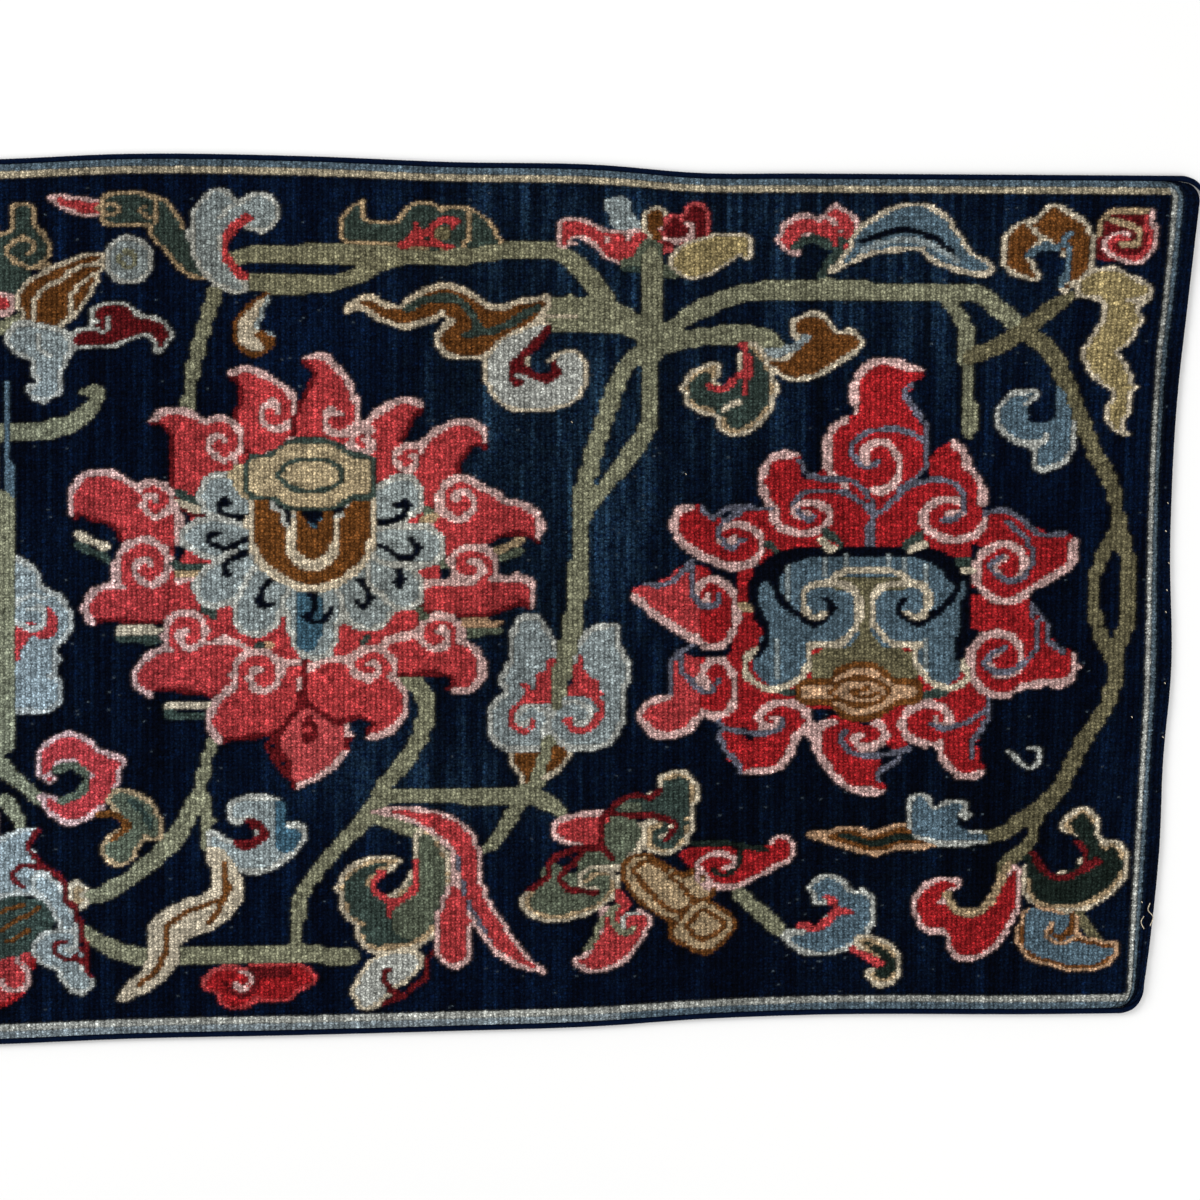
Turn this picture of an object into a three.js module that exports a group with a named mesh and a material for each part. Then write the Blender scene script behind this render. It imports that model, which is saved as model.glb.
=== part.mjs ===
// A Tibetan sleeping rug, lying flat. It is one hand-knotted wool carpet, and each of its
// two long sides is finished with a wool cord that is overcast onto it.
// Millimetres. +X runs along the rug, +Y across it and +Z up out of the pile. The origin is
// under the middle of the rug, on the surface that it lies on.
import * as THREE from "three";

const GROUND_THICKNESS = 3;
const PILE_HEIGHT = 7;
const CARPET_THICKNESS = GROUND_THICKNESS + PILE_HEIGHT;
const CARPET_ROUND = 3;
const CORD_WIDTH = 6;
const CORD_HEIGHT = 7;
const CORD_ROUND = 1.8;
const SEWING_GAP = 0.3;
const CORNER_ROUND = 22;
const PLAIN_END = -896;

// The long sides are hand-woven and not quite straight. Each row gives, at a place along
// the rug, how far its outer edges lie from the middle line.
const LONG_SIDES = [
  { along: -896, far: 444, near: -447 },
  { along: -600, far: 443, near: -446.5 },
  { along: -303, far: 442, near: -445 },
  { along: -185, far: 447, near: -440 },
  { along: -5, far: 445, near: -436 },
  { along: 145, far: 439, near: -432 },
  { along: 295, far: 436, near: -427 },
  { along: 395, far: 428, near: -420 },
  { along: 495, far: 427.5, near: -416 },
  { along: 745, far: 426, near: -415 },
  { along: 896, far: 425, near: -413 },
];

// The worn end slants, and it draws in around its middle. Each row gives, at a place across
// the rug, how far along it that end lies.
const WORN_END = [
  { across: 425, along: 898.7 },
  { across: 300, along: 884 },
  { across: 200, along: 873 },
  { across: 140, along: 869 },
  { across: 50, along: 866 },
  { across: -70, along: 867 },
  { across: -160, along: 859 },
  { across: -250, along: 855 },
  { across: -340, along: 846 },
  { across: -413, along: 836 },
];

const SIDES = {
  far: { column: "far", inward: -1, wornCorner: WORN_END[0] },
  near: { column: "near", inward: 1, wornCorner: WORN_END[WORN_END.length - 1] },
};

const SIDE_STEPS = 3;
const END_STEPS = 2;
const CORNER_STEPS = 6;

// How far an edge lies from the middle line at any place along the rug.
function edgeAt(side, along) {
  const rows = LONG_SIDES;
  let row = 0;
  while (row < rows.length - 2 && along > rows[row + 1].along) {
    row += 1;
  }
  const part = (along - rows[row].along) / (rows[row + 1].along - rows[row].along);
  return THREE.MathUtils.lerp(rows[row][side.column], rows[row + 1][side.column], part);
}

// Points along one long side, from the plain end to the worn one, moved towards the middle
// line by inset and stopping a corner's round short of both ends.
function sidePoints(side, inset) {
  const first = PLAIN_END + CORNER_ROUND;
  const last = side.wornCorner.along - CORNER_ROUND;
  const between = LONG_SIDES.map((row) => row.along).filter((along) => along > first && along < last);
  const stations = [first, ...between, last];
  return stations.map((along) => new THREE.Vector2(along, edgeAt(side, along) + side.inward * inset));
}

// Points along the worn end, from its far corner to its near one, without the corners.
function endPoints(inset) {
  const top = SIDES.far.wornCorner.across - inset - CORNER_ROUND;
  const bottom = SIDES.near.wornCorner.across + inset + CORNER_ROUND;
  const far = SIDES.far.wornCorner;
  const near = SIDES.near.wornCorner;
  const rows = WORN_END.filter((row) => row.across < top && row.across > bottom);
  const slantNear = (across, corner, next) =>
    THREE.MathUtils.mapLinear(across, corner.across, next.across, corner.along, next.along);
  return [
    new THREE.Vector2(slantNear(top, far, rows[0]), top),
    ...rows.map((row) => new THREE.Vector2(row.along, row.across)),
    new THREE.Vector2(slantNear(bottom, near, rows[rows.length - 1]), bottom),
  ];
}

// A smooth stretch of an outline through the points given.
function spline(points, steps) {
  return new THREE.SplineCurve(points).getPoints(steps * points.length);
}

// A round corner from one stretch to the next, without its two ends.
function corner(from, tip, to) {
  return new THREE.QuadraticBezierCurve(from, tip, to).getPoints(CORNER_STEPS).slice(1, -1);
}

// An upright solid on an outline, with its upper and lower edges rounded inside it.
function slab(outline, height, round, roundSteps) {
  return new THREE.ExtrudeGeometry(new THREE.Shape(outline), {
    depth: height - 2 * round,
    bevelEnabled: true,
    bevelThickness: round,
    bevelSize: round,
    bevelOffset: -round,
    bevelSegments: roundSteps,
  }).translate(0, 0, round);
}

function carpetGeometry() {
  const inset = CORD_WIDTH + SEWING_GAP;
  const far = spline(sidePoints(SIDES.far, inset), SIDE_STEPS);
  const near = spline(sidePoints(SIDES.near, inset), SIDE_STEPS).reverse();
  const worn = spline(endPoints(inset), END_STEPS);
  const plainFar = new THREE.Vector2(PLAIN_END, far[0].y - CORNER_ROUND);
  const plainNear = new THREE.Vector2(PLAIN_END, near[near.length - 1].y + CORNER_ROUND);
  const tip = (end, side) => new THREE.Vector2(end.x, side.y);
  const outline = [
    ...far,
    ...corner(far[far.length - 1], tip(worn[0], far[far.length - 1]), worn[0]),
    ...worn,
    ...corner(worn[worn.length - 1], tip(worn[worn.length - 1], near[0]), near[0]),
    ...near,
    ...corner(near[near.length - 1], tip(plainNear, near[near.length - 1]), plainNear),
    plainNear,
    plainFar,
    ...corner(plainFar, tip(plainFar, far[0]), far[0]),
  ];
  return slab(outline, CARPET_THICKNESS, CARPET_ROUND, 3);
}

function cordGeometry(side) {
  const outer = spline(sidePoints(side, 0), SIDE_STEPS);
  const inner = spline(sidePoints(side, CORD_WIDTH), SIDE_STEPS).reverse();
  return slab([...outer, ...inner], CORD_HEIGHT, CORD_ROUND, 2);
}

function piece(name, geometry, color, roughness) {
  const mesh = new THREE.Mesh(geometry, new THREE.MeshStandardMaterial({ color, roughness, metalness: 0 }));
  mesh.name = name;
  return mesh;
}

const KNOTTED_WOOL = 0x0c1d36;
const OVERCAST_WOOL = 0x14263f;

const rug = new THREE.Group();
rug.add(piece("carpet", carpetGeometry(), KNOTTED_WOOL, 0.95));
for (const [name, side] of Object.entries(SIDES)) {
  rug.add(piece(`side_cord_${name}`, cordGeometry(side), OVERCAST_WOOL, 0.9));
}

export default rug;
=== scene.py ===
"""The looks of a Tibetan sleeping rug that lies flat, pile up.

The rug is woven knot by knot. Its knots lie in rows along X, and each one gets its dye from a chart of
the design. Chart places are millimetres: x to the right along the rug and y down across it, so that the
chart reads as the rug does from above. The meshes are in metres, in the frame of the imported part."""
import math

import bpy
import numpy as np
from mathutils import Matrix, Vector


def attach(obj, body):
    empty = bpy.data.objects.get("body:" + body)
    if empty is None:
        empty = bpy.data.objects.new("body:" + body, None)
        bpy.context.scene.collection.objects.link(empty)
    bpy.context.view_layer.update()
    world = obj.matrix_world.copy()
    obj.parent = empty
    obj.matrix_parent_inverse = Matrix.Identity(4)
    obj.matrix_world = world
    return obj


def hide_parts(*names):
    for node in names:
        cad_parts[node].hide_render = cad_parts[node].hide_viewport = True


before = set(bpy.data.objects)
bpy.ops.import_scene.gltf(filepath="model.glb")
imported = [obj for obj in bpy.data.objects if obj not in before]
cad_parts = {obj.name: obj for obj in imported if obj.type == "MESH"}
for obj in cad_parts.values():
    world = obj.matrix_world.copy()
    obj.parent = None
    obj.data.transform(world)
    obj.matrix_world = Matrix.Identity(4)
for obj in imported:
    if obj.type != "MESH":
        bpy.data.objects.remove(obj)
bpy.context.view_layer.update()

# A metre, in millimetres
METRE = 1000

# The rug's sizes, in millimetres, as the CAD part has them
HALF_LENGTH = 896
CORD_WIDTH = 6
CORD_HEIGHT = 7
CORNER_ROUND = 22
GROUND_THICKNESS = 3
CARPET_THICKNESS = 10

# How far the long sides lie from the middle line, at places along the rug
LONG_SIDES = {
    "along": (-896, -600, -303, -185, -5, 145, 295, 395, 495, 745, 896),
    "far": (444, 443, 442, 447, 445, 439, 436, 428, 427.5, 426, 425),
    "near": (-447, -446.5, -445, -440, -436, -432, -427, -420, -416, -415, -413),
}

# Where the worn end lies along the rug, at places across it
WORN_END = {
    "across": (-413, -340, -250, -160, -70, 50, 140, 200, 300, 425),
    "along": (836, 846, 855, 859, 867, 866, 869, 873, 884, 898.7),
}

# Where the middle of the cream line near the worn end lies
END_LINE = {
    "across": (-395, -300, -200, -100, 0, 100, 200, 250, 300, 350, 405),
    "along": (825, 830, 836, 842, 844.5, 847, 851.5, 855, 861, 866, 871),
}

# The weave: rows of knots along the rug, and knots across it, with their pitches
ROWS = 332
KNOTS = 246
ROW_PITCH = 5.4
KNOT_PITCH = 3.6

# The row of the cream line, and the weave's rough size inside the cords
LINE_ROW = 327
STRAIGHT_END = 868
HALF_WIDTH = 430

# The rows start to slant here, towards the slanting end
SLANT_FROM = 560

# The chart's place of the middle of the rug, and the sum of two places that mirror each other
CHART_MIDDLE = (305, 600)
CHART_MIRROR = 590

# The wool's dyes, as red, green and blue from 0 to 255
DYES = {
    "navy": (2, 13, 36),
    "ink": (3, 7, 20),
    "red": (186, 66, 68),
    "crimson": (165, 36, 40),
    "wine": (100, 24, 28),
    "rose": (214, 177, 171),
    "pink": (186, 78, 79),
    "ice": (147, 158, 159),
    "steel": (90, 112, 125),
    "blue": (63, 95, 113),
    "slate": (104, 106, 120),
    "sage": (138, 138, 113),
    "moss": (61, 76, 70),
    "pine": (30, 41, 36),
    "leaf": (97, 105, 88),
    "olive": (112, 106, 80),
    "brown": (110, 68, 32),
    "sand": (182, 165, 132),
    "tan": (180, 156, 122),
    "camel": (166, 149, 105),
    "fawn": (191, 154, 121),
    "cream": (206, 193, 169),
    "bone": (184, 186, 179),
    "straw": (184, 172, 146),
    "stripe": (92, 110, 122),
    "faded": (138, 150, 156),
}
DYE_NUMBERS = {name: number for number, name in enumerate(DYES)}

# The corners of a face on a grid, counterclockwise
CORNERS = ((0, 0), (1, 0), (1, 1), (0, 1))

# A place off the chart, where nothing is drawn
NOWHERE = -9999

rng = np.random.default_rng(7)


class Chart:
    """The rug's knots, each with its place on the chart and the number of its dye."""

    def __init__(self, x, y):
        self.x = x
        self.y = y
        self.dye = np.full(x.shape, DYE_NUMBERS["navy"])

    def mask(self, *strokes):
        """How far each knot lies outside the strokes, or below zero inside, and its side of their middle."""
        side = np.zeros(self.x.shape)
        depth = np.full(self.x.shape, np.inf)
        for stroke in strokes:
            samples = smooth(stroke)
            reach = samples[:, 2].max() + SPARE_REACH
            low = samples[:, :2].min(axis=0) - reach
            high = samples[:, :2].max(axis=0) + reach
            near = np.nonzero((self.x > low[0]) & (self.x < high[0]) & (self.y > low[1]) & (self.y < high[1]))
            if not near[0].size:
                continue
            place = np.stack([self.x[near], self.y[near]], axis=1)
            gap, turn = distance(place, samples)
            closer = gap < depth[near]
            hit = tuple(axis[closer] for axis in near)
            depth[hit] = gap[closer]
            side[hit] = turn[closer]
        return depth, side

    def put(self, where, name):
        self.dye[where] = DYE_NUMBERS[name]

    def paint(self, fill, edges, *strokes, left=None, right=None, width=6.5):
        """A shape of one dye with lines of other dyes around it, named from the outside in.

        Left and right are the dyes of the lines on one side of the strokes only."""
        depth, side = self.mask(*strokes)
        inside = depth < 0
        self.put(inside, fill)
        edges = (edges,) if isinstance(edges, str) else edges or ()
        for count in range(len(edges), 0, -1):
            rim = outline(inside, depth, width * count)
            self.put(rim, edges[count - 1])
            if left:
                self.put(rim & (side < 0), left)
            if right:
                self.put(rim & (side > 0), right)

    def rim(self, name, stroke, width, side):
        """An edge along one side of a stroke only: 1 is its right hand, and -1 its left."""
        depth, turn = self.mask(stroke)
        self.put(outline(depth < 0, depth, width) & (turn * side > 0), name)

    def line(self, name, *points, width=6.4):
        """A line of one dye."""
        depth, _ = self.mask([(x, y, width / 2) for x, y in points])
        self.put(depth < 0, name)


# How far beyond a stroke its knots are looked for, the length given to a dot, and a length that isn't zero
SPARE_REACH = 2
DOT = 0.01
SMALL = 1e-9


def smooth(points, steps=6):
    """A Catmull-Rom curve through the points of a stroke, each with its half width."""
    points = np.array(points, float)
    if len(points) == 1:
        return np.vstack([points, points + (DOT, 0, 0)])
    ends = np.vstack([2 * points[0] - points[1], points, 2 * points[-1] - points[-2]])
    t = np.linspace(0, 1, steps, endpoint=False)[:, None]
    pieces = []
    for a, b, c, d in zip(ends[:-3], ends[1:-2], ends[2:-1], ends[3:]):
        bend = (2 * a - 5 * b + 4 * c - d) * t**2 + (3 * b - a - 3 * c + d) * t**3
        pieces.append(b + 0.5 * ((c - a) * t + bend))
    return np.vstack(pieces + [points[-1:]])


def distance(place, samples):
    """How far places lie outside a stroke, and the side of its middle line they are on."""
    start, end = samples[:-1], samples[1:]
    run = end[:, :2] - start[:, :2]
    off = place[:, None, :] - start[None, :, :2]
    length = np.maximum((run**2).sum(axis=1), SMALL)
    t = np.clip((off * run).sum(axis=2) / length, 0, 1)
    gap = np.linalg.norm(off - t[..., None] * run, axis=2)
    gap -= start[:, 2] + t * (end[:, 2] - start[:, 2])
    best = gap.argmin(axis=1)
    rows = np.arange(len(place))
    turn = np.sign(run[best, 0] * off[rows, best, 1] - run[best, 1] * off[rows, best, 0])
    return gap[rows, best], turn


def outline(inside, depth, width):
    """The knots of a shape that lie within a line's width of its edge, and always its outermost knots."""
    return outer_knots(inside, 1) | (depth > -width) & outer_knots(inside, width)


def outer_knots(inside, width):
    """The knots of a shape that have one outside it within a width, along their row or across the rows."""
    core = inside.copy()
    for step in range(1, math.ceil(width / ROW_PITCH) + 1):
        core[step:] &= inside[:-step]
        core[:-step] &= inside[step:]
    for step in range(1, math.ceil(width / KNOT_PITCH) + 1):
        core[:, step:] &= inside[:, :-step]
        core[:, :-step] &= inside[:, step:]
    return inside & ~core


def spiral(x, y, outer, inner, start, sweep, tall, eye, curl, steps=20):
    """Points on a spiral line. Angles are in degrees, clockwise on the chart.

    Tall is its height for its width, eye the place where it ends, and curl how late it draws in."""
    eye_x, eye_y = eye or (x, y)
    points = []
    for step in range(steps + 1):
        part = step / steps
        angle = math.radians(start + sweep * part)
        drawn_in = part**curl
        radius = outer + (inner - outer) * drawn_in
        points.append((x + (eye_x - x) * drawn_in + radius * math.cos(angle),
                       y + (eye_y - y) * drawn_in + radius * tall * math.sin(angle)))
    return points


def draw(chart):
    """The whole design, from the vines under everything to the flowers over them."""
    vines(chart)
    top_left(chart)
    top_middle(chart)
    top_right(chart)
    palmette(chart)
    lotus_a(chart)
    lotus_b(chart)
    bottom_left(chart)
    bottom_middle(chart)
    compound_flower(chart)
    bottom_right(chart)


def vines(chart):
    """The stems, under everything else."""
    for stem in VINES:
        chart.paint("sage", None, stem)
    for stem in DARK_VINES:
        chart.paint("olive", None, stem)


VINES = (
    [(226, 270, 8), (218, 285, 8), (206, 320, 7.5), (196, 355, 7.5), (190, 385, 6.5), (187, 410, 6)],
    [(232, 259, 7), (255, 254, 9), (300, 254, 10), (350, 254, 10), (400, 254, 9), (450, 255, 10),
            (500, 250, 10), (548, 250, 9), (568, 258, 9), (588, 276, 10), (604, 298, 10)],
    [(238, 281, 8), (270, 284, 9), (320, 284, 9), (350, 278, 8), (378, 264, 9), (400, 256, 9)],
    [(545, 306, 10), (580, 308, 12), (620, 318, 13), (655, 335, 12)],
    [(552, 322, 9), (590, 322, 9), (630, 328, 8), (650, 340, 10)],
    [(-10, 432, 9), (30, 431, 10), (62, 427, 9), (84, 415, 8), (95, 402, 7), (96, 390, 6), (84, 392, 4)],
    # the loop right of the first lotus and the stem down to the palmette
    [(652, 270, 10), (652, 330, 10), (650, 380, 9), (648, 425, 9), (633, 450, 9), (610, 480, 8),
            (590, 505, 7)],
    [(650, 345, 9), (625, 368, 8), (611, 400, 9), (598, 440, 9), (588, 475, 9), (583, 520, 8)],
    [(583, 490, 9), (579, 560, 9), (575, 620, 9), (566, 660, 9)],
    # along the top, and down beside the second lotus
    [(660, 337, 8), (700, 310, 9), (745, 293, 9), (800, 290, 9), (885, 291, 9), (970, 292, 9), (985, 298, 9),
            (1010, 318, 9), (1030, 335, 9)],
    [(826, 278, 5), (818, 286, 6)],
    [(660, 347, 9), (700, 337, 9), (740, 335, 10), (765, 338, 9), (782, 346, 4)],
    [(950, 302, 7), (964, 325, 8), (968, 350, 8), (968, 430, 8)],
    # along the bottom, from the red curl at the left to the compound flower
    [(213, 740, 6), (205, 765, 6), (200, 790, 7), (190, 812, 9), (175, 838, 9), (155, 858, 9), (130, 878, 8),
            (105, 893, 8), (88, 898, 7)],
    [(203, 798, 7), (208, 820, 6), (205, 845, 5)],
    [(80, 930, 7), (105, 945, 8), (125, 953, 9), (150, 958, 9), (200, 957, 9), (300, 955, 9), (352, 957, 8)],
    [(402, 672, 9), (416, 684, 9), (426, 702, 9), (424, 725, 9), (416, 745, 8), (402, 765, 8), (385, 785, 8),
            (375, 805, 9), (360, 825, 8), (335, 850, 7), (315, 875, 7), (300, 900, 7), (296, 945, 7)],
    [(385, 795, 7), (430, 796, 8), (500, 796, 8), (530, 796, 8), (548, 803, 8), (562, 812, 5)],
    [(375, 815, 10), (395, 822, 8), (412, 833, 6)],
    [(545, 770, 7), (533, 785, 9), (520, 800, 8), (508, 822, 7), (495, 842, 6), (480, 851, 4)],
    # down the left edge
    [(2, 500, 9), (2, 560, 9), (3, 640, 10), (3, 745, 10)],
    [(-12, 738, 8), (5, 770, 8), (25, 787, 7), (42, 802, 6)],
    [(5, 800, 8), (20, 822, 7)],
    [(740, 895, 7), (755, 908, 8), (775, 925, 8), (784, 933, 6)],
)

# The vines near the worn end are of a darker yarn
DARK_VINES = (
    [(1030, 335, 9), (1050, 350, 9), (1064, 377, 9), (1082, 420, 8), (1094, 450, 8), (1110, 480, 8),
            (1117, 505, 7), (1118, 530, 8)],
    [(1118, 530, 9), (1105, 552, 7), (1096, 575, 6), (1095, 610, 6), (1101, 635, 8), (1112, 652, 9)],
    [(1118, 530, 9), (1126, 550, 8), (1129, 575, 7), (1128, 615, 7), (1123, 635, 8), (1112, 652, 9)],
    [(1113, 652, 9), (1115, 670, 8), (1112, 690, 8), (1103, 712, 7), (1085, 738, 8), (1070, 768, 8),
            (1058, 790, 8), (1040, 808, 9), (1020, 822, 8), (1000, 834, 7), (975, 838, 6)],
    [(970, 357, 8), (1005, 343, 8), (1025, 328, 8), (1050, 310, 8), (1068, 296, 6)],
    [(1036, 820, 6), (1032, 838, 6), (1022, 850, 6), (1008, 862, 7), (1000, 875, 7)],
)


def top_left(chart):
    """The buds, leaves and curls above the first lotus's left half."""
    # moss bud and red curl at the edge, brown and pale buds
    chart.paint("moss", "tan", [(15, 209, 7), (27, 211, 9)], [(22, 220, 14), (23, 234, 15)], [(0, 250, 17),
            (28, 248, 23)], width=4.5)
    chart.paint("moss", None, [(-15, 262, 26), (8, 272, 20), (14, 285, 9)])
    chart.line("tan", (50, 262), (40, 267), (24, 266), (12, 260), (8, 248), (15, 240), (25, 238), (33, 244),
            (32, 251), (28, 253), width=4.5)
    chart.paint("red", "rose", [(-20, 304, 13), (2, 304, 12), (8, 306, 6)], width=5)
    chart.paint("sage", None, [(-20, 332, 8), (10, 325, 8), (30, 318, 8)])
    chart.paint("brown", "cream", [(97, 259, 8), (80, 275, 20), (60, 292, 28), (45, 302, 29)], width=5)
    chart.line("cream", (36, 325), (34, 305), (42, 290), (60, 280), (76, 268), (100, 262), width=4.5)
    chart.line("cream", (62, 322), (72, 312), (70, 296), (84, 281), (101, 269), width=4.5)
    chart.paint("ice", "bone", [(128, 260, 25)], width=5)
    chart.paint("ice", "sage", [(127, 259, 10)], width=4)
    # wine leaf, pale stalk, red leaf and moss caterpillar
    chart.paint("wine", "bone", [(74, 339, 9), (92, 337, 11), (110, 333, 15), (128, 327, 13), (148, 326, 12),
            (162, 334, 10), (158, 348, 7)], [(104, 315, 13), (124, 314, 12)], width=4)
    chart.line("bone", (92, 308), (92, 321), (99, 330), (106, 329), (109, 320), (105, 316), width=4)
    chart.paint("ice", "bone", [(24, 339, 19), (53, 346, 20)], [(48, 358, 19), (48, 376, 15), (48, 388, 12)],
            [(31, 390, 6), (42, 395, 8), (54, 388, 9)], width=5.5)
    chart.line("bone", (37, 335), (40, 350), (48, 356), width=4)
    chart.paint("red", "rose", [(50, 197, 3), (68, 203, 8), (85, 207, 10), (98, 209, 9)], width=4)
    chart.paint("moss", "tan", [(155, 212, 17), (172, 236, 17), (190, 262, 13), (200, 273, 6)], width=4)
    chart.paint("moss", "tan", [(115, 209, 18), (142, 210, 18)], width=4)
    chart.line("tan", (102, 202), (104, 214), (115, 213), (116, 204), (109, 204), width=4)
    chart.line("tan", (152, 198), (156, 208), (150, 217), (141, 212), (146, 205), width=4)
    # pale curl with a red arc, and a hook below it
    chart.paint("ice", "bone", [(219, 203, 17), (208, 218, 18), (205, 243, 17), (216, 268, 15),
            (238, 286, 10)], [(222, 226, 10), (238, 214, 10), (258, 212, 22)], width=5.5)
    chart.line("bone", (238, 198), (229, 208), (221, 218), width=4)
    chart.line("red", (247, 218), (231, 230), (224, 246), (229, 262), (243, 276), width=9)
    chart.paint("cream", "brown", [(266, 296, 5), (252, 315, 11), (245, 332, 13), (254, 344, 13),
            (266, 340, 9)], width=5, left="ice")
    chart.paint("brown", None, [(262, 335, 6), (269, 342, 5)])


def top_middle(chart):
    """The leaf, ribbon and curl above and right of the first lotus."""
    # moss leaf on the vine
    chart.paint("moss", "tan", [(363, 203, 3), (354, 214, 10), (350, 226, 12)], [(352, 233, 12),
            (402, 234, 13)], [(404, 236, 14), (422, 226, 25), (438, 230, 23), (458, 227, 23)],
            [(458, 228, 22), (474, 232, 20), (488, 238, 11), (502, 243, 4)], width=4)
    chart.line("tan", (469, 211), (470, 223), (469, 234), (464, 244), width=4)
    chart.paint("red", None, [(404, 245, 4), (414, 238, 7), (417, 227, 4)])
    chart.line("red", (400, 245), (432, 244), (455, 248), width=6)
    chart.line("red", (431, 243), (430, 231), (438, 222), (448, 219), (455, 219), (453, 227), width=7)
    chart.paint("olive", None, [(443, 233, 8)])
    chart.paint("sage", None, [(355, 254, 8), (400, 256, 8), (455, 257, 8), (500, 251, 8)])
    # brown ribbon with a moss vein
    chart.paint("brown", "cream", [(345, 310, 3), (365, 303, 9), (387, 313, 11), (405, 316, 13),
            (425, 306, 18), (447, 300, 17), (465, 310, 20), (480, 325, 24), (500, 329, 23), (520, 318, 19),
            (545, 302, 8)], [(455, 340, 20), (475, 340, 21)], width=6)
    chart.line("moss", (408, 310), (425, 300), (450, 298), (465, 305), (475, 322), (480, 332), (500, 328),
            (520, 317), (537, 308), width=8)
    chart.line("moss", (462, 336), (480, 333), width=7)
    # white curl with a wine line
    chart.paint("bone", "cream", [(545, 326, 7), (520, 345, 16), (506, 366, 23), (514, 385, 24),
            (535, 393, 19), (560, 388, 20), (570, 375, 20), (569, 367, 18)], [(556, 362, 8)], width=4)
    chart.paint("navy", None, [(553, 338, 5), (543, 350, 9), (537, 360, 9)], [(538, 362, 8), (545, 367, 6)])
    chart.line("wine", (549, 328), (538, 342), (524, 354), (514, 366), (512, 378), (518, 382), width=10)
    chart.line("wine", (522, 366), (533, 375), (547, 378), (557, 372), (554, 365), width=9)
    chart.line("cream", (549, 315), (575, 315), width=4)


LOTUS_A = {
    "top_left": dict(ring=(274, 411, 25, 25), start=305, sweep=400, lobe=[(232, 374, 5), (245, 376, 11),
            (258, 388, 18), (266, 405, 28), (265, 425, 34)]),
    "upper_left": dict(ring=(221, 443, 26, 26), start=250, sweep=430, lobe=[(155, 420, 6), (170, 417, 11),
            (185, 428, 19), (198, 452, 30), (205, 480, 38)]),
    "left": dict(ring=(154, 502, 21, 20), start=230, sweep=440, curl=1.4, lobe=[(74, 514, 5), (80, 505, 12),
            (97, 495, 27), (125, 505, 26), (150, 525, 34)]),
    "lower_left": dict(ring=(147, 567, 33, 33), start=158, sweep=520, lobe=[(95, 621, 5), (93, 610, 12),
            (108, 602, 20), (140, 602, 22), (180, 600, 22), (200, 590, 20)]),
    "bottom_left": dict(ring=(188, 634, 24, 26), start=153, sweep=460, curl=1.3, lobe=[(150, 693, 5),
            (145, 680, 14), (160, 670, 22), (190, 668, 26), (225, 668, 32)]),
    "low_left": dict(ring=(260, 675, 27, 28), start=160, sweep=480, curl=1.3, lobe=[(222, 738, 6),
            (222, 725, 16), (240, 712, 28), (265, 705, 32), (295, 690, 32)]),
    "top": dict(ring=(336, 417, 24, 24), start=328, sweep=330, lobe=[(307, 360, 5), (320, 364, 12),
            (328, 380, 18), (330, 400, 28), (325, 425, 34)]),
    "top_right": dict(ring=(365, 443, 16, 15), start=300, sweep=-390, lobe=[(420, 408, 5), (410, 406, 11),
            (395, 418, 18), (380, 438, 25), (378, 455, 30)]),
    "upper_right": dict(ring=(409, 460, 16, 15), start=300, sweep=-365, curl=1.2, lobe=[(484, 443, 6),
            (474, 434, 13), (457, 438, 19), (440, 455, 24), (432, 480, 30)]),
    "right": dict(ring=(460, 501, 23, 24), start=320, sweep=-500, curl=1.5, lobe=[(537, 537, 6),
            (529, 522, 15), (511, 517, 19), (495, 518, 21), (478, 516, 31), (455, 530, 30)]),
    "lower_right": dict(ring=(471, 566, 25, 21), start=20, sweep=-490, curl=1.6, lobe=[(530, 603, 6),
            (522, 590, 15), (503, 593, 18), (472, 598, 21), (432, 597, 18)]),
    "bottom_right": dict(ring=(438, 635, 24, 21), start=20, sweep=-490, curl=1.6, lobe=[(452, 689, 5),
            (467, 681, 13), (466, 664, 20), (440, 654, 22), (400, 655, 22)]),
    "low_right": dict(ring=(370, 667, 25, 20), start=25, sweep=-460, curl=1.5, lobe=[(371, 735, 6),
            (384, 722, 14), (384, 702, 26), (362, 690, 30), (330, 690, 34)]),
}


HEART_PETALS = (
    ([(222, 496, 25), (245, 508, 20)], [(246, 518), (229, 518), (219, 509), (221, 501), (230, 503)]),
    ([(190, 537, 12), (210, 538, 22), (245, 542, 20)], [(246, 540), (228, 548), (213, 545), (208, 538),
            (216, 534)]),
    ([(214, 588, 22), (238, 572, 24)], [(246, 553), (234, 557), (223, 566), (226, 574), (230, 574)]),
    ([(256, 612, 26), (268, 585, 24)], [(269, 580), (263, 590), (258, 600), (266, 607), (270, 604)]),
    ([(314, 637, 24), (313, 605, 32)], []),
    ([(368, 604, 28), (358, 585, 24)], [(360, 580), (368, 592), (370, 600), (363, 606), (358, 602)]),
    ([(404, 590, 22), (387, 572, 24)], [(380, 558), (394, 566), (402, 576), (400, 586), (394, 582)]),
    ([(424, 546, 22), (390, 545, 22)], [(380, 545), (396, 555), (412, 556), (419, 547), (410, 541)]),
    ([(400, 498, 25), (382, 508, 20)], [(380, 521), (395, 520), (405, 513), (407, 503), (397, 505)]),
)

SEPALS = (
    ("cream", (77, 534), (106, 547)), ("moss", (79, 545), (108, 560)),
    ("cream", (118, 630), (158, 630)), ("moss", (118, 640), (158, 640)),
    ("cream", (166, 705), (206, 705)), ("moss", (166, 715), (206, 715)),
    ("tan", (498, 550), (520, 541)), ("leaf", (500, 559), (522, 550)),
    ("fawn", (463, 623), (498, 623)), ("leaf", (465, 633), (498, 632)),
)

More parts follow.
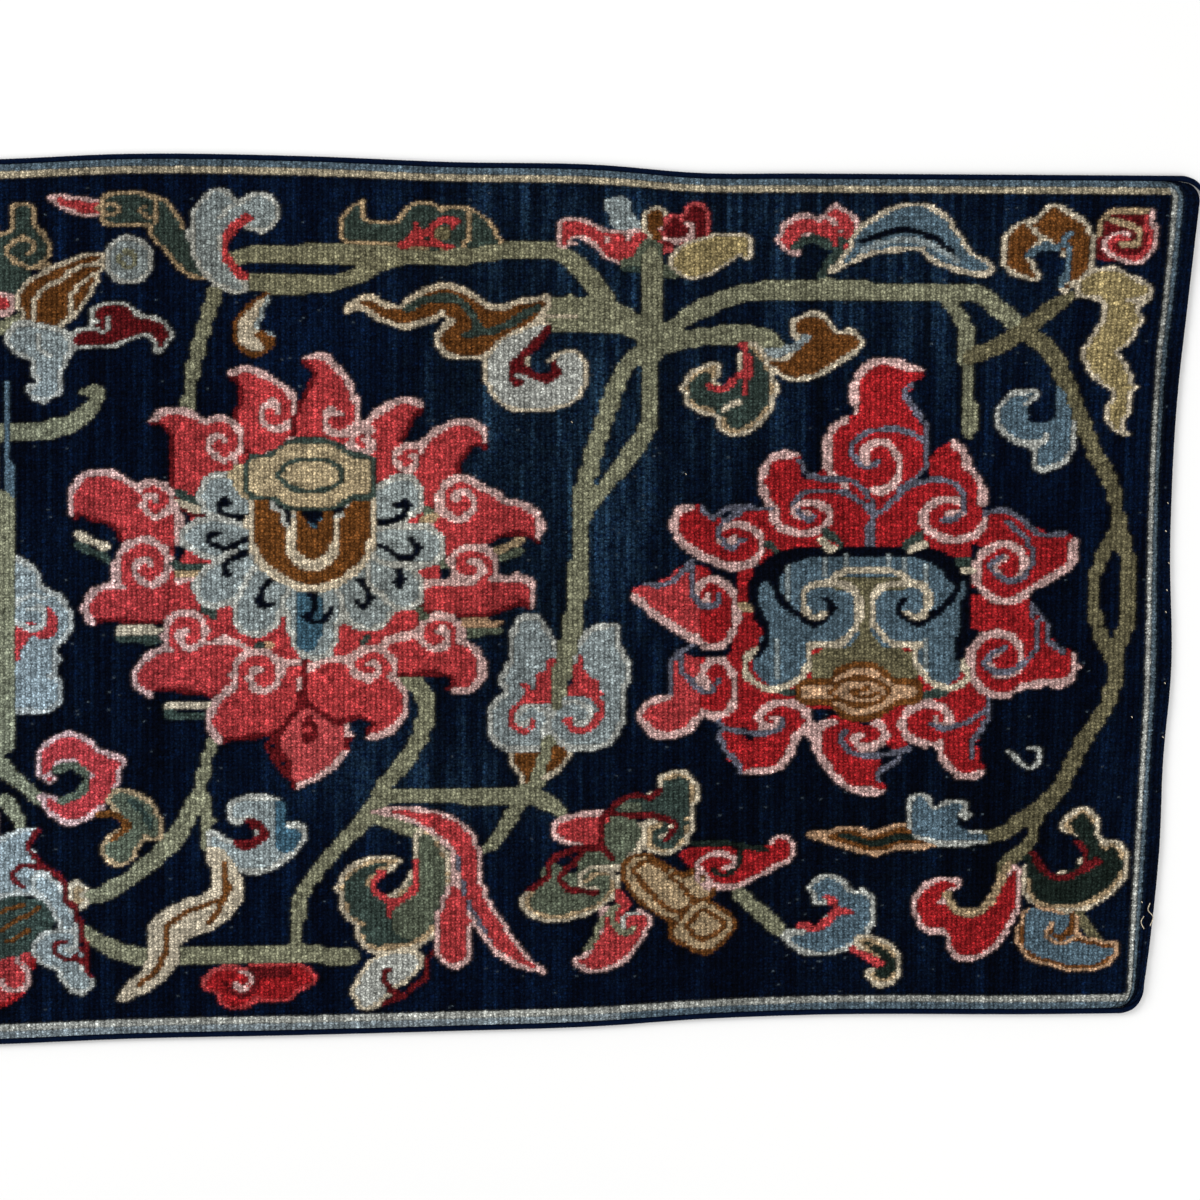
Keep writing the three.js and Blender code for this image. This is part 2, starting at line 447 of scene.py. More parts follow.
GUSSETS = (
    ("moss", (178, 493), (196, 503)), ("cream", (180, 502), (196, 511)),
    ("moss", (173, 565), (201, 568)), ("tan", (177, 574), (201, 574)),
    ("moss", (202, 607), (214, 616)), ("moss", (256, 645), (264, 645)), ("fawn", (266, 646), (272, 646)),
    ("moss", (362, 641), (368, 639)), ("leaf", (418, 608), (424, 617)), ("leaf", (438, 560), (444, 566)),
    ("leaf", (424, 508), (432, 514)), ("tan", (424, 520), (436, 516)),
)


def lotus_a(chart):
    """The lotus at the left: red petals round a pale heart, a brown cup and a tan tablet."""
    for name, first, last in SEPALS:
        chart.line(name, first, last, width=8)
    chart.paint("red", None, [(312, 560, 130)])
    chart.paint("pink", "rose", [(306, 705, 8), (308, 735, 36), (322, 738, 30), (310, 758, 24),
            (300, 772, 14), (298, 784, 6)], width=6, right="wine")
    for petal in LOTUS_A.values():
        flame(chart, "red", "rose", "wine", **petal)
    chart.paint("pink", None, [(306, 715, 6), (306, 735, 24), (324, 738, 22)])
    chart.line("wine", (268, 745), (276, 760), (284, 772), width=7)
    chart.line("wine", (306, 662), (306, 702), width=6)
    chart.line("wine", (306, 702), (290, 718), (276, 736), (266, 746), width=7)
    chart.line("wine", (308, 703), (324, 716), (342, 724), width=6)
    chart.paint("wine", None, [(308, 724, 7), (308, 734, 9)])
    chart.paint("red", None, [(308, 730, 4)])
    for name, first, last in GUSSETS:
        chart.line(name, first, last, width=8)
    for strokes, mark in HEART_PETALS:
        chart.paint("ice", "bone", strokes, width=6)
        if mark:
            chart.line("ink", *mark, width=7)
    chart.paint("blue", None, [(307, 602, 12), (307, 640, 12)], [(318, 602, 6), (314, 640, 6)])
    chart.line("ink", (312, 594), (313, 608), (309, 620), (302, 614), width=6)
    chart.line("ink", (330, 609), (325, 620), (314, 622), width=6)
    cup = [(250, 500), (251, 540), (264, 566), (290, 583), (313, 588), (338, 583), (362, 564), (372, 540),
            (373, 500)]
    chart.paint("brown", None, [(312, 515, 59), (312, 528, 59)])
    chart.line("cream", *cup, width=8)
    chart.paint("cream", None, [(313, 512, 28), (313, 544, 27)])
    chart.paint("brown", None, [(313, 512, 18), (313, 542, 18)])
    chart.paint("blue", None, [(313, 514, 9), (313, 520, 7)])
    chart.paint("ink", None, [(306, 512, 5), (320, 512, 5)], [(313, 518, 4), (313, 524, 3)])
    for strokes in ([(276, 504), (287, 512), (287, 522)], [(343, 503), (337, 513)]):
        chart.line("bone", *strokes, width=12)
        chart.line("ink", *strokes, width=6)
    chart.paint("sand", None, [(238, 474, 9), (246, 490, 9)])
    chart.paint("sand", "moss", [(257, 466, 13), (364, 466, 13)], [(257, 487, 13), (364, 487, 13)],
            [(256, 476, 12), (366, 476, 12)], [(300, 475, 37), (322, 475, 37)], width=5)
    chart.paint("sand", "moss", [(285, 475, 8), (298, 475, 17), (324, 475, 17), (338, 475, 8)], width=5)


# A flame petal: the width of its hook's shade, how far its root lies inside its spiral, and the spiral's eye
SHADE_WIDTH = 4.5
ROOT_INSET = 3
EYE = 4


def flame(chart, fill, edge, shade, ring, start, sweep, lobe, eye=None, curl=1.0, more=(), width=7.4):
    """A flame petal: a lobe that hooks back at its tip, and is curled into a spiral at its root.

    The ring is the spiral's middle, width and height, halved. Its edge is light outside. Where the hook is
    hollow it is in the shade, or bare."""
    x, y, wide, tall = ring
    hollow = "right" if sweep > 0 else "left"
    chart.paint(fill, edge, lobe, *more, width=width, **{hollow: fill})
    if shade:
        chart.rim(shade, lobe, SHADE_WIDTH, side=1 if sweep > 0 else -1)
    half_round = min(wide, tall)
    shift_x, shift_y = wide - half_round, tall - half_round
    root = [(x + way * shift_x, y + way * shift_y, half_round - ROOT_INSET) for way in (-1, 1)]
    chart.paint(fill, None, root)
    turns = spiral(x, y, wide, EYE, start, sweep, tall / wide, eye, curl)
    chart.line(edge, *turns, width=width)


def top_right(chart):
    """The curls and ribbons along the top, up to the worn end."""
    # white scrap, and the red, wine and green flower on the vine
    chart.paint("ice", None, [(610, 205, 7), (622, 205, 9)], [(618, 215, 10), (628, 226, 12)])
    chart.paint("red", "rose", [(564, 240, 9), (570, 228, 12), (585, 230, 10), (600, 238, 11), (615, 246, 16),
            (632, 246, 17), (648, 240, 12)], width=4)
    chart.line("rose", (576, 244), (571, 240), (580, 236), (592, 240), width=4)
    for spot in ((606, 240), (628, 238)):
        chart.paint("rose", None, [(*spot, 4)])
    chart.paint("brown", "cream", [(656, 222, 15), (660, 232, 14)], width=3.5)
    chart.paint("wine", "pink", [(697, 212, 12), (697, 228, 16)], [(676, 230, 16), (690, 236, 12)],
            [(665, 245, 8)], width=4)
    chart.line("rose", (662, 228), (665, 238), (680, 241), (692, 235), (693, 226), (687, 224), width=4)
    chart.paint("leaf", None, [(650, 252, 13), (652, 262, 11)], [(626, 264, 6), (640, 262, 8)],
            [(668, 270, 7), (676, 274, 6)])
    chart.paint("sage", None, [(652, 254, 8), (652, 272, 10)])
    chart.line("moss", (624, 269), (640, 270), width=5)
    chart.paint("camel", "cream", [(674, 262, 8), (695, 260, 19), (718, 250, 17), (742, 244, 11),
            (748, 255, 6)], width=3.5)
    # red curl
    chart.paint("red", "rose", [(797, 252, 6), (789, 240, 12), (797, 228, 13), (812, 226, 12), (826, 232, 11),
            (838, 243, 10), (845, 252, 8)], [(836, 216, 12), (846, 228, 15), (850, 244, 10)], width=5)
    chart.line("rose", (822, 216), (834, 222), (841, 232), width=4)
    chart.line("moss", (797, 246), (806, 240), (818, 239), (830, 246), width=9)
    chart.line("moss", (842, 240), (838, 252), (828, 264), (820, 276), width=9)
    # blue and cream ribbon
    chart.paint("steel", "cream", [(832, 270, 4), (850, 258, 7), (868, 240, 16), (900, 228, 24),
            (925, 228, 24), (945, 246, 20), (965, 261, 13), (984, 268, 9), (992, 272, 3)], width=5)
    chart.line("ice", (862, 250), (882, 243), (902, 240), (922, 242), (940, 250), (956, 260), width=6)
    chart.line("ink", (865, 241), (882, 234), (902, 230), (920, 232), (938, 240), (952, 252), width=6)
    # brown curl
    chart.paint("brown", "cream", [(770, 362, 6), (790, 368, 13), (812, 358, 20), (830, 350, 18),
            (848, 343, 15)], [(800, 328, 12), (815, 326, 15), (822, 340, 18)], width=5)
    chart.line("ice", (763, 352), (780, 352), (795, 347), (806, 338), width=8)
    # green curl
    chart.paint("moss", ("cream", "tan"), [(713, 369, 8), (700, 385, 17), (703, 396, 18), (720, 400, 16)],
            [(750, 350, 10), (757, 375, 18), (756, 395, 21), (742, 412, 22), (732, 420, 16)], width=4)
    chart.paint("moss", None, [(722, 394, 9), (742, 390, 12)])
    chart.line("cream", (740, 402), (732, 404), (725, 410), width=5)
    chart.line("red", (743, 345), (748, 365), (745, 390), width=8)
    chart.line("red", (745, 370), (735, 380), (720, 390), (708, 385), width=7)
    # brown curl by the worn end
    chart.paint("brown", "cream", [(1036, 276, 6), (1018, 262, 14), (1018, 244, 17), (1032, 232, 14),
            (1046, 236, 12)], [(1056, 220, 17), (1072, 236, 20), (1080, 255, 17), (1072, 278, 9),
            (1064, 290, 4)], width=5)
    chart.line("cream", (1030, 224), (1040, 236), (1050, 240), width=5)
    chart.line("steel", (1030, 254), (1045, 246), (1060, 246), (1068, 234), width=7)
    chart.line("steel", (1067, 246), (1068, 262), (1063, 284), width=7)
    # wine spiral
    chart.paint("wine", None, [(1107, 252, 11), (1108, 236, 11), (1116, 224, 12), (1140, 222, 11)],
            [(1118, 248, 15), (1138, 243, 17), (1146, 232, 9)])
    chart.line("red", (1147, 213), (1146, 225), (1151, 234), (1149, 246), (1141, 256), (1130, 259),
            (1118, 255), (1110, 249), (1110, 243), (1118, 238), (1128, 239), width=6)
    chart.line("rose", (1152, 210), (1150, 220), (1156, 229), (1155, 243), (1150, 254), (1138, 263),
            (1124, 261), (1112, 255), (1105, 249), (1104, 243), (1109, 237), (1118, 233), (1130, 234),
            width=4.5)
    chart.line("tan", (1098, 234), (1102, 223), (1111, 213), (1122, 210), (1146, 211), width=6)
    chart.line("tan", (1114, 222), (1125, 223), (1136, 228), (1141, 236), (1138, 243), (1130, 246),
            (1123, 245), width=6.5)
    # camel ribbon
    chart.paint("camel", "cream", [(1080, 291, 7), (1094, 285, 15), (1112, 283, 17), (1130, 288, 13),
            (1146, 290, 8)], [(1118, 300, 16), (1122, 312, 20), (1121, 325, 19), (1108, 340, 17),
            (1099, 356, 17), (1112, 372, 17), (1124, 386, 12), (1120, 402, 11), (1117, 414, 12),
            (1120, 426, 8), (1125, 435, 3)], width=4)
    chart.line("cream", (1130, 299), (1138, 302), (1148, 301), width=4.5)
    # steel curl
    chart.paint("steel", "bone", [(1034, 393, 6), (1018, 403, 13), (1011, 418, 17), (1022, 431, 15),
            (1040, 432, 15), (1056, 430, 18)], [(1066, 424, 10), (1062, 438, 16), (1055, 450, 17),
            (1043, 460, 12)], width=6)
    chart.paint("steel", None, [(1059, 388, 2), (1061, 400, 6), (1063, 418, 9), (1056, 436, 12),
            (1046, 456, 7)], [(1020, 412, 9), (1030, 428, 9), (1050, 430, 9)])
    chart.paint("navy", None, [(1037, 412, 11), (1044, 412, 11)], [(1048, 405, 6), (1050, 392, 5)])
    chart.line("bone", (1030, 446), (1040, 444), (1048, 437), width=6)


def palmette(chart):
    """The pale palmette between the lotuses, with red flames in it."""
    chart.paint("brown", "cream", [(540, 738, 36), (538, 748, 32), (533, 765, 19), (528, 782, 6)], width=5)
    left = ([(530, 632, 19), (535, 655, 26)], [(527, 680, 27)], [(516, 722, 31), (535, 722, 30)])
    right = ([(612, 630, 8), (600, 645, 20), (602, 672, 30)], [(598, 700, 30), (590, 715, 36)],
            [(578, 720, 32)])
    chart.paint("ice", "bone", *left, width=6)
    chart.paint("ice", "bone", *right, width=6)
    chart.paint("ice", None, [(592, 650, 12), (594, 690, 22)])
    chart.line("bone", (550, 708), (547, 728), (545, 744), width=8)
    chart.paint("red", None, [(523, 703, 4), (537, 698, 9), (550, 696, 5)], [(552, 660, 4), (552, 695, 4)],
            [(541, 674, 4), (541, 698, 5)], [(525, 685, 3), (528, 700, 5)])
    chart.paint("red", None, [(570, 693, 4), (582, 688, 9), (597, 694, 5)], [(580, 656, 2.5), (574, 690, 5)],
            [(584, 673, 3), (580, 692, 5)], [(595, 681, 4), (590, 692, 5)])
    chart.line("red", (527, 701), (514, 708), (511, 719), (517, 729), (527, 731), (534, 722), width=6)
    chart.line("bone", (548, 714), (536, 706), (523, 708), (518, 716), (521, 725), (529, 720), width=6)
    chart.line("red", (597, 697), (601, 710), (596, 722), (583, 730), (571, 729), (567, 718), width=7)
    chart.line("bone", (553, 716), (560, 706), (575, 701), (588, 707), (591, 716), (583, 724), (574, 721),
            width=6)
    chart.paint("sage", None, [(571, 620, 9), (567, 650, 9), (560, 680, 9), (556, 704, 6)])
    chart.line("sage", (549, 740), (546, 752), (540, 768), (532, 788), width=12)
    # half of another palmette at the left
    chart.paint("ice", "bone", [(-20, 580, 24), (14, 580, 24), (20, 585, 22)], [(-20, 620, 40),
            (40, 620, 33)], [(-20, 660, 40), (28, 660, 32)], [(-20, 690, 20), (42, 692, 23)], width=6)
    chart.paint("red", None, [(16, 656, 4), (18, 635, 10), (28, 630, 9)], [(40, 635, 6), (50, 628, 7),
            (50, 615, 5), (40, 608, 4)])
    chart.line("bone", (12, 612), (20, 600), (32, 596), (45, 598), width=5)
    chart.line("bone", (14, 618), (24, 628), (38, 628), (45, 618), (40, 608), (30, 610), width=6)
    chart.line("steel", (7, 385), (9, 530), width=8)
    chart.line("sage", (4, 500), (4, 740), width=17)


LOTUS_B = {
    "upper_left": dict(ring=(804, 516, 31, 18), eye=(808, 511), start=190, sweep=-460, curl=2,
            lobe=[(794, 458, 6), (783, 468, 18), (781, 482, 23), (788, 498, 22), (803, 515, 20)]),
    "far_left": dict(ring=(735, 544, 31, 23), eye=(733, 535), start=145, sweep=-420, curl=2,
            lobe=[(694, 509, 6), (686, 518, 14), (692, 530, 20), (712, 540, 23), (735, 545, 22)]),
    "left": dict(ring=(714, 612, 26, 36), eye=(707, 591), start=135, sweep=-410, curl=2, lobe=[(642, 595, 11),
            (660, 600, 18), (680, 603, 28), (702, 610, 34)]),
    "lower_left": dict(ring=(717, 687, 21, 30), eye=(709, 676), start=115, sweep=-390, curl=2,
            lobe=[(660, 720, 19), (676, 718, 20), (692, 702, 20), (706, 684, 28)]),
    "bottom_left": dict(ring=(782, 720, 27, 20), eye=(772, 718), start=60, sweep=-400, curl=2,
            lobe=[(744, 772, 4), (757, 762, 14), (770, 752, 21), (776, 735, 24)]),
    "bottom": dict(ring=(867, 736, 19, 14), eye=(862, 738), start=300, sweep=285, curl=2, lobe=[(880, 789, 6),
            (868, 783, 12), (856, 768, 25), (845, 750, 28), (838, 741, 26)]),
    "bottom_right": dict(ring=(929, 723, 27, 21), eye=(936, 718), start=95, sweep=350, curl=3,
            lobe=[(979, 770, 7), (966, 766, 15), (958, 752, 20), (955, 738, 22)]),
    "lower_right": dict(ring=(999, 662, 32, 34), eye=(1001, 656), start=75, sweep=550, curl=1.5,
            lobe=[(1067, 660, 11), (1060, 669, 18), (1042, 667, 20), (1015, 662, 30)]),
    "right": dict(ring=(1004, 571, 31, 31), eye=(1006, 562), start=50, sweep=560, curl=1.5,
            lobe=[(1070, 541, 7), (1061, 554, 17), (1045, 558, 25), (1010, 566, 33)]),
    "upper_right": dict(ring=(952, 517, 34, 24), eye=(949, 511), start=350, sweep=430, curl=2,
            lobe=[(954, 453, 13), (957, 460, 14), (952, 478, 22), (957, 495, 30), (950, 512, 26)]),
    "top": dict(ring=(881, 465, 21, 26), eye=(869, 454), start=110, sweep=-380, curl=2, lobe=[(919, 373, 6),
            (904, 374, 12), (882, 386, 29), (881, 404, 29), (884, 418, 31)], more=[[(850, 442, 26),
            (850, 462, 26)], [(898, 440, 28), (897, 462, 28)]]),
}


SLATE_LINES = (
    ((909, 384), (907, 398), (918, 412), (927, 432), (927, 462), (918, 476), (904, 491), (880, 512),
            (871, 516), (870, 547)),
    ((922, 440), (905, 431), (885, 429), (862, 434), (852, 448), (857, 462), (868, 468), (879, 462)),
    ((800, 460), (808, 474), (830, 480), (850, 480), (862, 488), (870, 498), (872, 515), (870, 548)),
    ((870, 510), (855, 498), (840, 492), (808, 491), (796, 500), (798, 512), (806, 519), (815, 516)),
    ((701, 506), (708, 516), (718, 516), (730, 508), (773, 509)),
    ((742, 512), (726, 520), (719, 530), (724, 543), (732, 548), (743, 540)),
    ((646, 584), (662, 585), (674, 580), (692, 562)),
    ((694, 565), (691, 588), (697, 600), (706, 607), (717, 604), (719, 595)),
    ((690, 647), (675, 656), (671, 675), (669, 693)),
    ((683, 657), (683, 672), (693, 684), (704, 693), (713, 690), (718, 680)),
    ((717, 721), (730, 730), (755, 733), (776, 731), (783, 724), (780, 716)),
    ((719, 735), (726, 750), (738, 764), (741, 774)),
    ((844, 732), (843, 743), (852, 752), (865, 755), (890, 754), (912, 748)),
    ((901, 757), (889, 766), (879, 773), (878, 781)),
    ((933, 724), (944, 729), (962, 724), (988, 708)),
    ((988, 698), (986, 720), (973, 742), (972, 758)),
    ((1031, 604), (1040, 614), (1047, 625), (1048, 641), (1066, 653)),
    ((1034, 610), (1036, 630), (1035, 650), (1025, 662), (1008, 672), (995, 672), (986, 665), (990, 656),
            (1004, 648)),
    ((1008, 522), (1022, 534), (1031, 548), (1030, 568), (1020, 579), (1006, 581), (994, 573), (992, 562),
            (1003, 557)),
    ((986, 513), (1005, 510), (1020, 517), (1030, 528), (1042, 535), (1066, 534)),
    ((897, 490), (918, 483), (945, 480), (961, 490), (962, 510), (953, 521), (941, 519)),
)


def lotus_b(chart):
    """The lotus at the right: crimson petals with slate lines, and a steel cap over a tan knot."""
    chart.paint("crimson", None, [(863, 575, 112), (863, 600, 108)], [(985, 612, 20), (1016, 616, 20)],
            [(875, 480, 40)], [(870, 520, 50)], [(780, 680, 26), (950, 690, 24)], [(868, 685, 34)],
            [(750, 575, 14), (750, 640, 18), (738, 690, 18)], [(680, 588, 12), (698, 580, 16)],
            [(966, 706, 21), (964, 728, 18), (962, 745, 14)], [(890, 715, 20), (896, 738, 11)],
            [(735, 712, 16), (760, 718, 12)], [(745, 688, 18), (768, 697, 10)], [(738, 521, 10),
            (768, 521, 13)], [(688, 576, 13), (674, 590, 9)], [(684, 664, 11), (684, 692, 14)],
            [(728, 738, 9), (742, 752, 15), (757, 761, 14)], [(944, 464, 15)])
    chart.paint("crimson", None, [(980, 530, 16), (1000, 526, 14), (1022, 534, 12), (1045, 546, 14)],
            [(1026, 608, 10), (1034, 625, 12), (1038, 640, 13), (1050, 656, 12)])
    for petal in LOTUS_B.values():
        flame(chart, "crimson", "rose", None, width=8, **petal)
    # a paler batch of red at its lower left
    paler = (chart.dye == DYE_NUMBERS["crimson"]) & (chart.x < 700) & (chart.y > 570)
    chart.put(paler, "red")
    chart.line("rose", (669, 697), (655, 700), (643, 708), (639, 718), width=7)
    chart.line("rose", (812, 738), (814, 728), (822, 724), (835, 722), width=7)
    for line in SLATE_LINES:
        chart.line("slate", *line, width=5.5)
    cap(chart)
    # tan knot under the cap
    chart.paint("fawn", "brown", [(808, 692, 14), (828, 692, 15)], [(895, 692, 15), (911, 692, 13)],
            [(848, 702, 17), (862, 704, 18), (874, 702, 17)], [(848, 684, 19), (862, 680, 20),
            (876, 684, 17)], width=7)
    chart.line("brown", (830, 693), (842, 682), (860, 678), (878, 682), (889, 691), (878, 701), (862, 706),
            (842, 701), (830, 693), width=5.5)
    chart.line("brown", (868, 688), (852, 691), (862, 697), (880, 693), width=4)
    for name, first, last in CUSHIONS:
        chart.line(name, first, last, width=8)
    chart.line("bone", (1007, 750), (1020, 762), (1030, 768), (1040, 760), (1040, 750), (1028, 747),
            width=4.5)


# The sum of two places that mirror each other in the cap
CAP_MIRROR = 1732


def cap(chart):
    """The lotus's cap: steel streaked with ice, within an ink line, and with cream scrolls."""
    chart.paint("ink", None, [(797, 596, 48), (925, 596, 48)])
    chart.paint("steel", None, [(815, 597, 39), (912, 597, 39)], [(868, 622, 44)], [(817, 625, 20),
            (915, 625, 20)], [(766, 585, 5), (770, 605, 10), (785, 635, 22), (781, 660, 28)], [(960, 580, 4),
            (953, 605, 10), (940, 635, 21), (941, 662, 23)])
    chart.line("ink", (757, 570), (752, 598), (764, 622), (767, 638), (758, 655), width=8)
    chart.line("ink", (966, 570), (969, 600), (966, 628), (960, 640), (960, 658), width=8)
    for top, bottom in (((790, 566), (790, 600)), ((826, 560), (826, 576)), ((905, 560), (905, 572)),
                        ((928, 566), (928, 590)), ((778, 640), (778, 676)), ((928, 640), (928, 676)),
                        ((844, 556), (844, 570)), ((888, 556), (888, 568))):
        chart.line("ice", top, bottom, width=5.5)
    chart.line("olive", (838, 583), (905, 583), width=14)
    chart.paint("olive", None, [(866, 590, 6), (866, 640, 6)], [(866, 650, 16)], [(832, 667, 21),
            (900, 667, 18)])
    chart.line("cream", (826, 586), (836, 575), (850, 571), (884, 571), (900, 574), (914, 584), width=6)
    crease = [(777, 560), (775, 585), (781, 600), (797, 614), (812, 623), (826, 618), (833, 608), (828, 600)]
    scroll = [(825, 613), (815, 618), (806, 611), (803, 600), (806, 589), (815, 585), (845, 585), (857, 594),
            (860, 610), (857, 625), (848, 637), (835, 645), (812, 645)]
    for flip in (lambda x: x, lambda x: CAP_MIRROR - x):
        for name, points in (("ink", crease), ("cream", scroll)):
            chart.line(name, *[(flip(x), y) for x, y in points], width=7)
    chart.line("cream", (810, 645), (809, 660), (803, 674), (790, 685), (772, 689), (756, 684), (746, 673),
            (744, 662), (754, 650), width=7)
    chart.line("cream", (914, 645), (915, 660), (922, 673), (935, 684), (950, 688), (964, 682), (967, 672),
            (962, 662), width=7)


CUSHIONS = (
    ("moss", (825, 530), (842, 545)), ("cream", (822, 541), (832, 549)), ("moss", (768, 543), (776, 550)),
    ("tan", (742, 605), (750, 609)), ("moss", (782, 693), (794, 693)), ("moss", (905, 546), (922, 533)),
    ("cream", (910, 550), (924, 543)), ("moss", (957, 562), (970, 562)), ("cream", (964, 571), (972, 570)),
    ("moss", (928, 694), (944, 694)),
)


def bottom_left(chart):
    """The leaves, curls and ribbon below the first lotus, and the flower in the corner."""
    chart.paint("tan", "cream", [(76, 889, 8), (80, 889, 8)], [(78, 900, 9), (80, 902, 8)], width=5)
    # red curl
    chart.paint("red", "rose", [(50, 780, 5), (43, 768, 9), (55, 752, 15), (75, 748, 16), (92, 760, 14),
            (108, 768, 14), (102, 785, 15), (88, 802, 16), (68, 811, 14), (52, 805, 10), (42, 797, 4)],
            [(108, 766, 12), (124, 759, 4)], width=5)
    chart.line("leaf", (57, 771), (68, 766), (82, 771), (87, 782), (78, 794), (62, 801), width=9)
    # green leaf
    chart.paint("leaf", "tan", [(120, 800, 13), (138, 812, 18), (152, 830, 13)], [(120, 848, 19),
            (128, 840, 14)], width=5)
    chart.line("moss", (132, 802), (144, 812), (150, 826), width=7)
    chart.line("brown", (98, 813), (115, 815), (125, 823), (125, 830), (113, 838), width=8)
    # ice curl
    chart.paint("ice", "bone", [(236, 818, 8), (240, 808, 11), (262, 808, 13), (276, 808, 11)],
            [(212, 838, 8), (225, 852, 14), (248, 858, 16), (270, 850, 20), (288, 838, 16), (298, 830, 8)],
            [(270, 822, 16), (275, 838, 20)], width=5.5)
    chart.paint("blue", None, [(281, 806, 5), (281, 826, 6)], [(285, 842, 12), (293, 836, 8)])
    chart.line("wine", (238, 845), (250, 845), (262, 838), (262, 828), (250, 822), width=9)
    # cream ribbon
    chart.paint("cream", None, [(215, 855, 9), (224, 872, 13), (228, 892, 16), (210, 910, 18), (185, 920, 19),
            (166, 932, 18), (164, 955, 16), (152, 975, 12), (132, 990, 8), (120, 1000, 4)])
    chart.line("brown", (225, 865), (226, 895), (205, 905), (180, 915), (168, 927), (165, 950), (160, 965),
            (148, 977), (137, 987), width=6)
    chart.line("brown", (226, 895), (217, 912), (207, 923), width=6)
    # red cloud
    chart.paint("crimson", "red", [(210, 983, 10), (228, 980, 13), (262, 980, 15), (296, 977, 14),
            (308, 979, 9)], [(232, 996, 14), (243, 996, 13)], [(262, 990, 13), (286, 990, 12)], width=4)
    chart.rim("pink", [(206, 984, 7), (222, 978, 12), (242, 976, 10)], 3.5, -1)
    chart.paint("wine", None, [(254, 972, 6), (284, 972, 6)])
    chart.line("wine", (227, 984), (233, 993), (245, 995), (255, 988), (256, 976), width=5)
    chart.line("rose", (240, 972), (248, 974), (250, 981), (246, 988), (239, 988), (235, 984), width=4.5)
    # flower in the corner
    chart.paint("red", "crimson", [(-30, 985, 26), (2, 980, 26), (20, 962, 14), (27, 952, 8)], width=6)
    chart.line("rose", (17, 960), (25, 969), (29, 977), (25, 987), (14, 991), (4, 987), (0, 981), width=5.5)
    chart.paint("moss", None, [(-30, 928, 30), (8, 928, 30), (30, 920, 22), (42, 917, 14)])
    for row in ((0, 912, 24, 905), (2, 930, 38, 908), (4, 944, 30, 930)):
        chart.line("brown", row[:2], row[2:], width=3.6)
    chart.paint("ice", "bone", [(-30, 868, 30), (4, 868, 30), (14, 862, 24)], [(22, 880, 16), (40, 884, 13)],
            [(8, 846, 12), (24, 838, 11), (30, 832, 5)], width=5)
    chart.paint("ice", "bone", [(40, 884, 12), (52, 893, 11), (60, 906, 11), (67, 920, 10), (68, 932, 10)],
            width=4)
    chart.paint("ice", "bone", [(66, 941, 13), (50, 948, 17), (50, 954, 15)], width=5)
    chart.paint("ice", "bone", [(62, 958, 12), (68, 968, 13), (78, 980, 14), (84, 984, 10)], width=5)
    chart.paint("ice", None, [(50, 954, 11), (62, 960, 9), (74, 962, 8), (82, 950, 3)])
    chart.line("wine", (38, 830), (29, 842), (30, 852), (40, 862), (58, 877), (66, 887), (66, 900), (75, 910),
            (80, 928), (85, 948), (84, 964), (90, 976), width=6)
    chart.line("wine", (46, 869), (30, 866), (18, 868), (13, 876), (17, 883), (22, 886), width=5)
    chart.line("wine", (63, 941), (57, 943), (56, 954), (65, 959), (75, 957), (83, 947), width=5)


def bottom_middle(chart):
    """The green curl, white leaf and red ribbons along the bottom."""
    # green curl in two greens
    curl = ([(392, 862, 8), (372, 868, 12), (355, 885, 18), (362, 905, 22)], [(425, 840, 12), (432, 862, 19),
            (428, 890, 24), (410, 918, 30), (378, 930, 24)])
    chart.paint("moss", ("cream", "tan"), *curl, width=4)
    chart.paint("moss", None, [(366, 900, 14), (378, 918, 16)])
    chart.paint("leaf", None, [(425, 842, 8), (430, 865, 14), (425, 890, 18), (410, 920, 20)])
    chart.line("red", (382, 873), (372, 885), (380, 895), (395, 902), (410, 895), (417, 880), (415, 862),
            width=7)
    chart.line("red", (392, 902), (390, 915), width=7)
    # white leaf
    chart.paint("bone", "cream", [(418, 960, 8), (402, 966, 16), (384, 974, 20), (370, 990, 18),
            (366, 1000, 11)], width=4)
    chart.line("wine", (430, 950), (428, 965), (424, 979), (412, 989), (400, 998), (382, 1004), width=5.5)
    chart.line("wine", (390, 969), (382, 975), (385, 983), (400, 997), width=5.5)
    # red ribbons
    chart.paint("red", "rose", [(456, 856, 5), (462, 880, 12), (458, 905, 17), (453, 930, 21),
            (455, 950, 19)], width=5)
    chart.paint("red", "rose", [(376, 812, 3), (405, 814, 7), (435, 822, 12), (458, 838, 15), (468, 860, 14),
            (471, 885, 13), (478, 905, 13), (490, 925, 14), (503, 943, 13), (518, 958, 9), (542, 971, 3)],
            width=4.5)
    chart.paint("red", None, [(462, 900, 8), (456, 925, 12)])
    chart.line("slate", (458, 855), (462, 880), (467, 900), (478, 920), (490, 940), width=4)


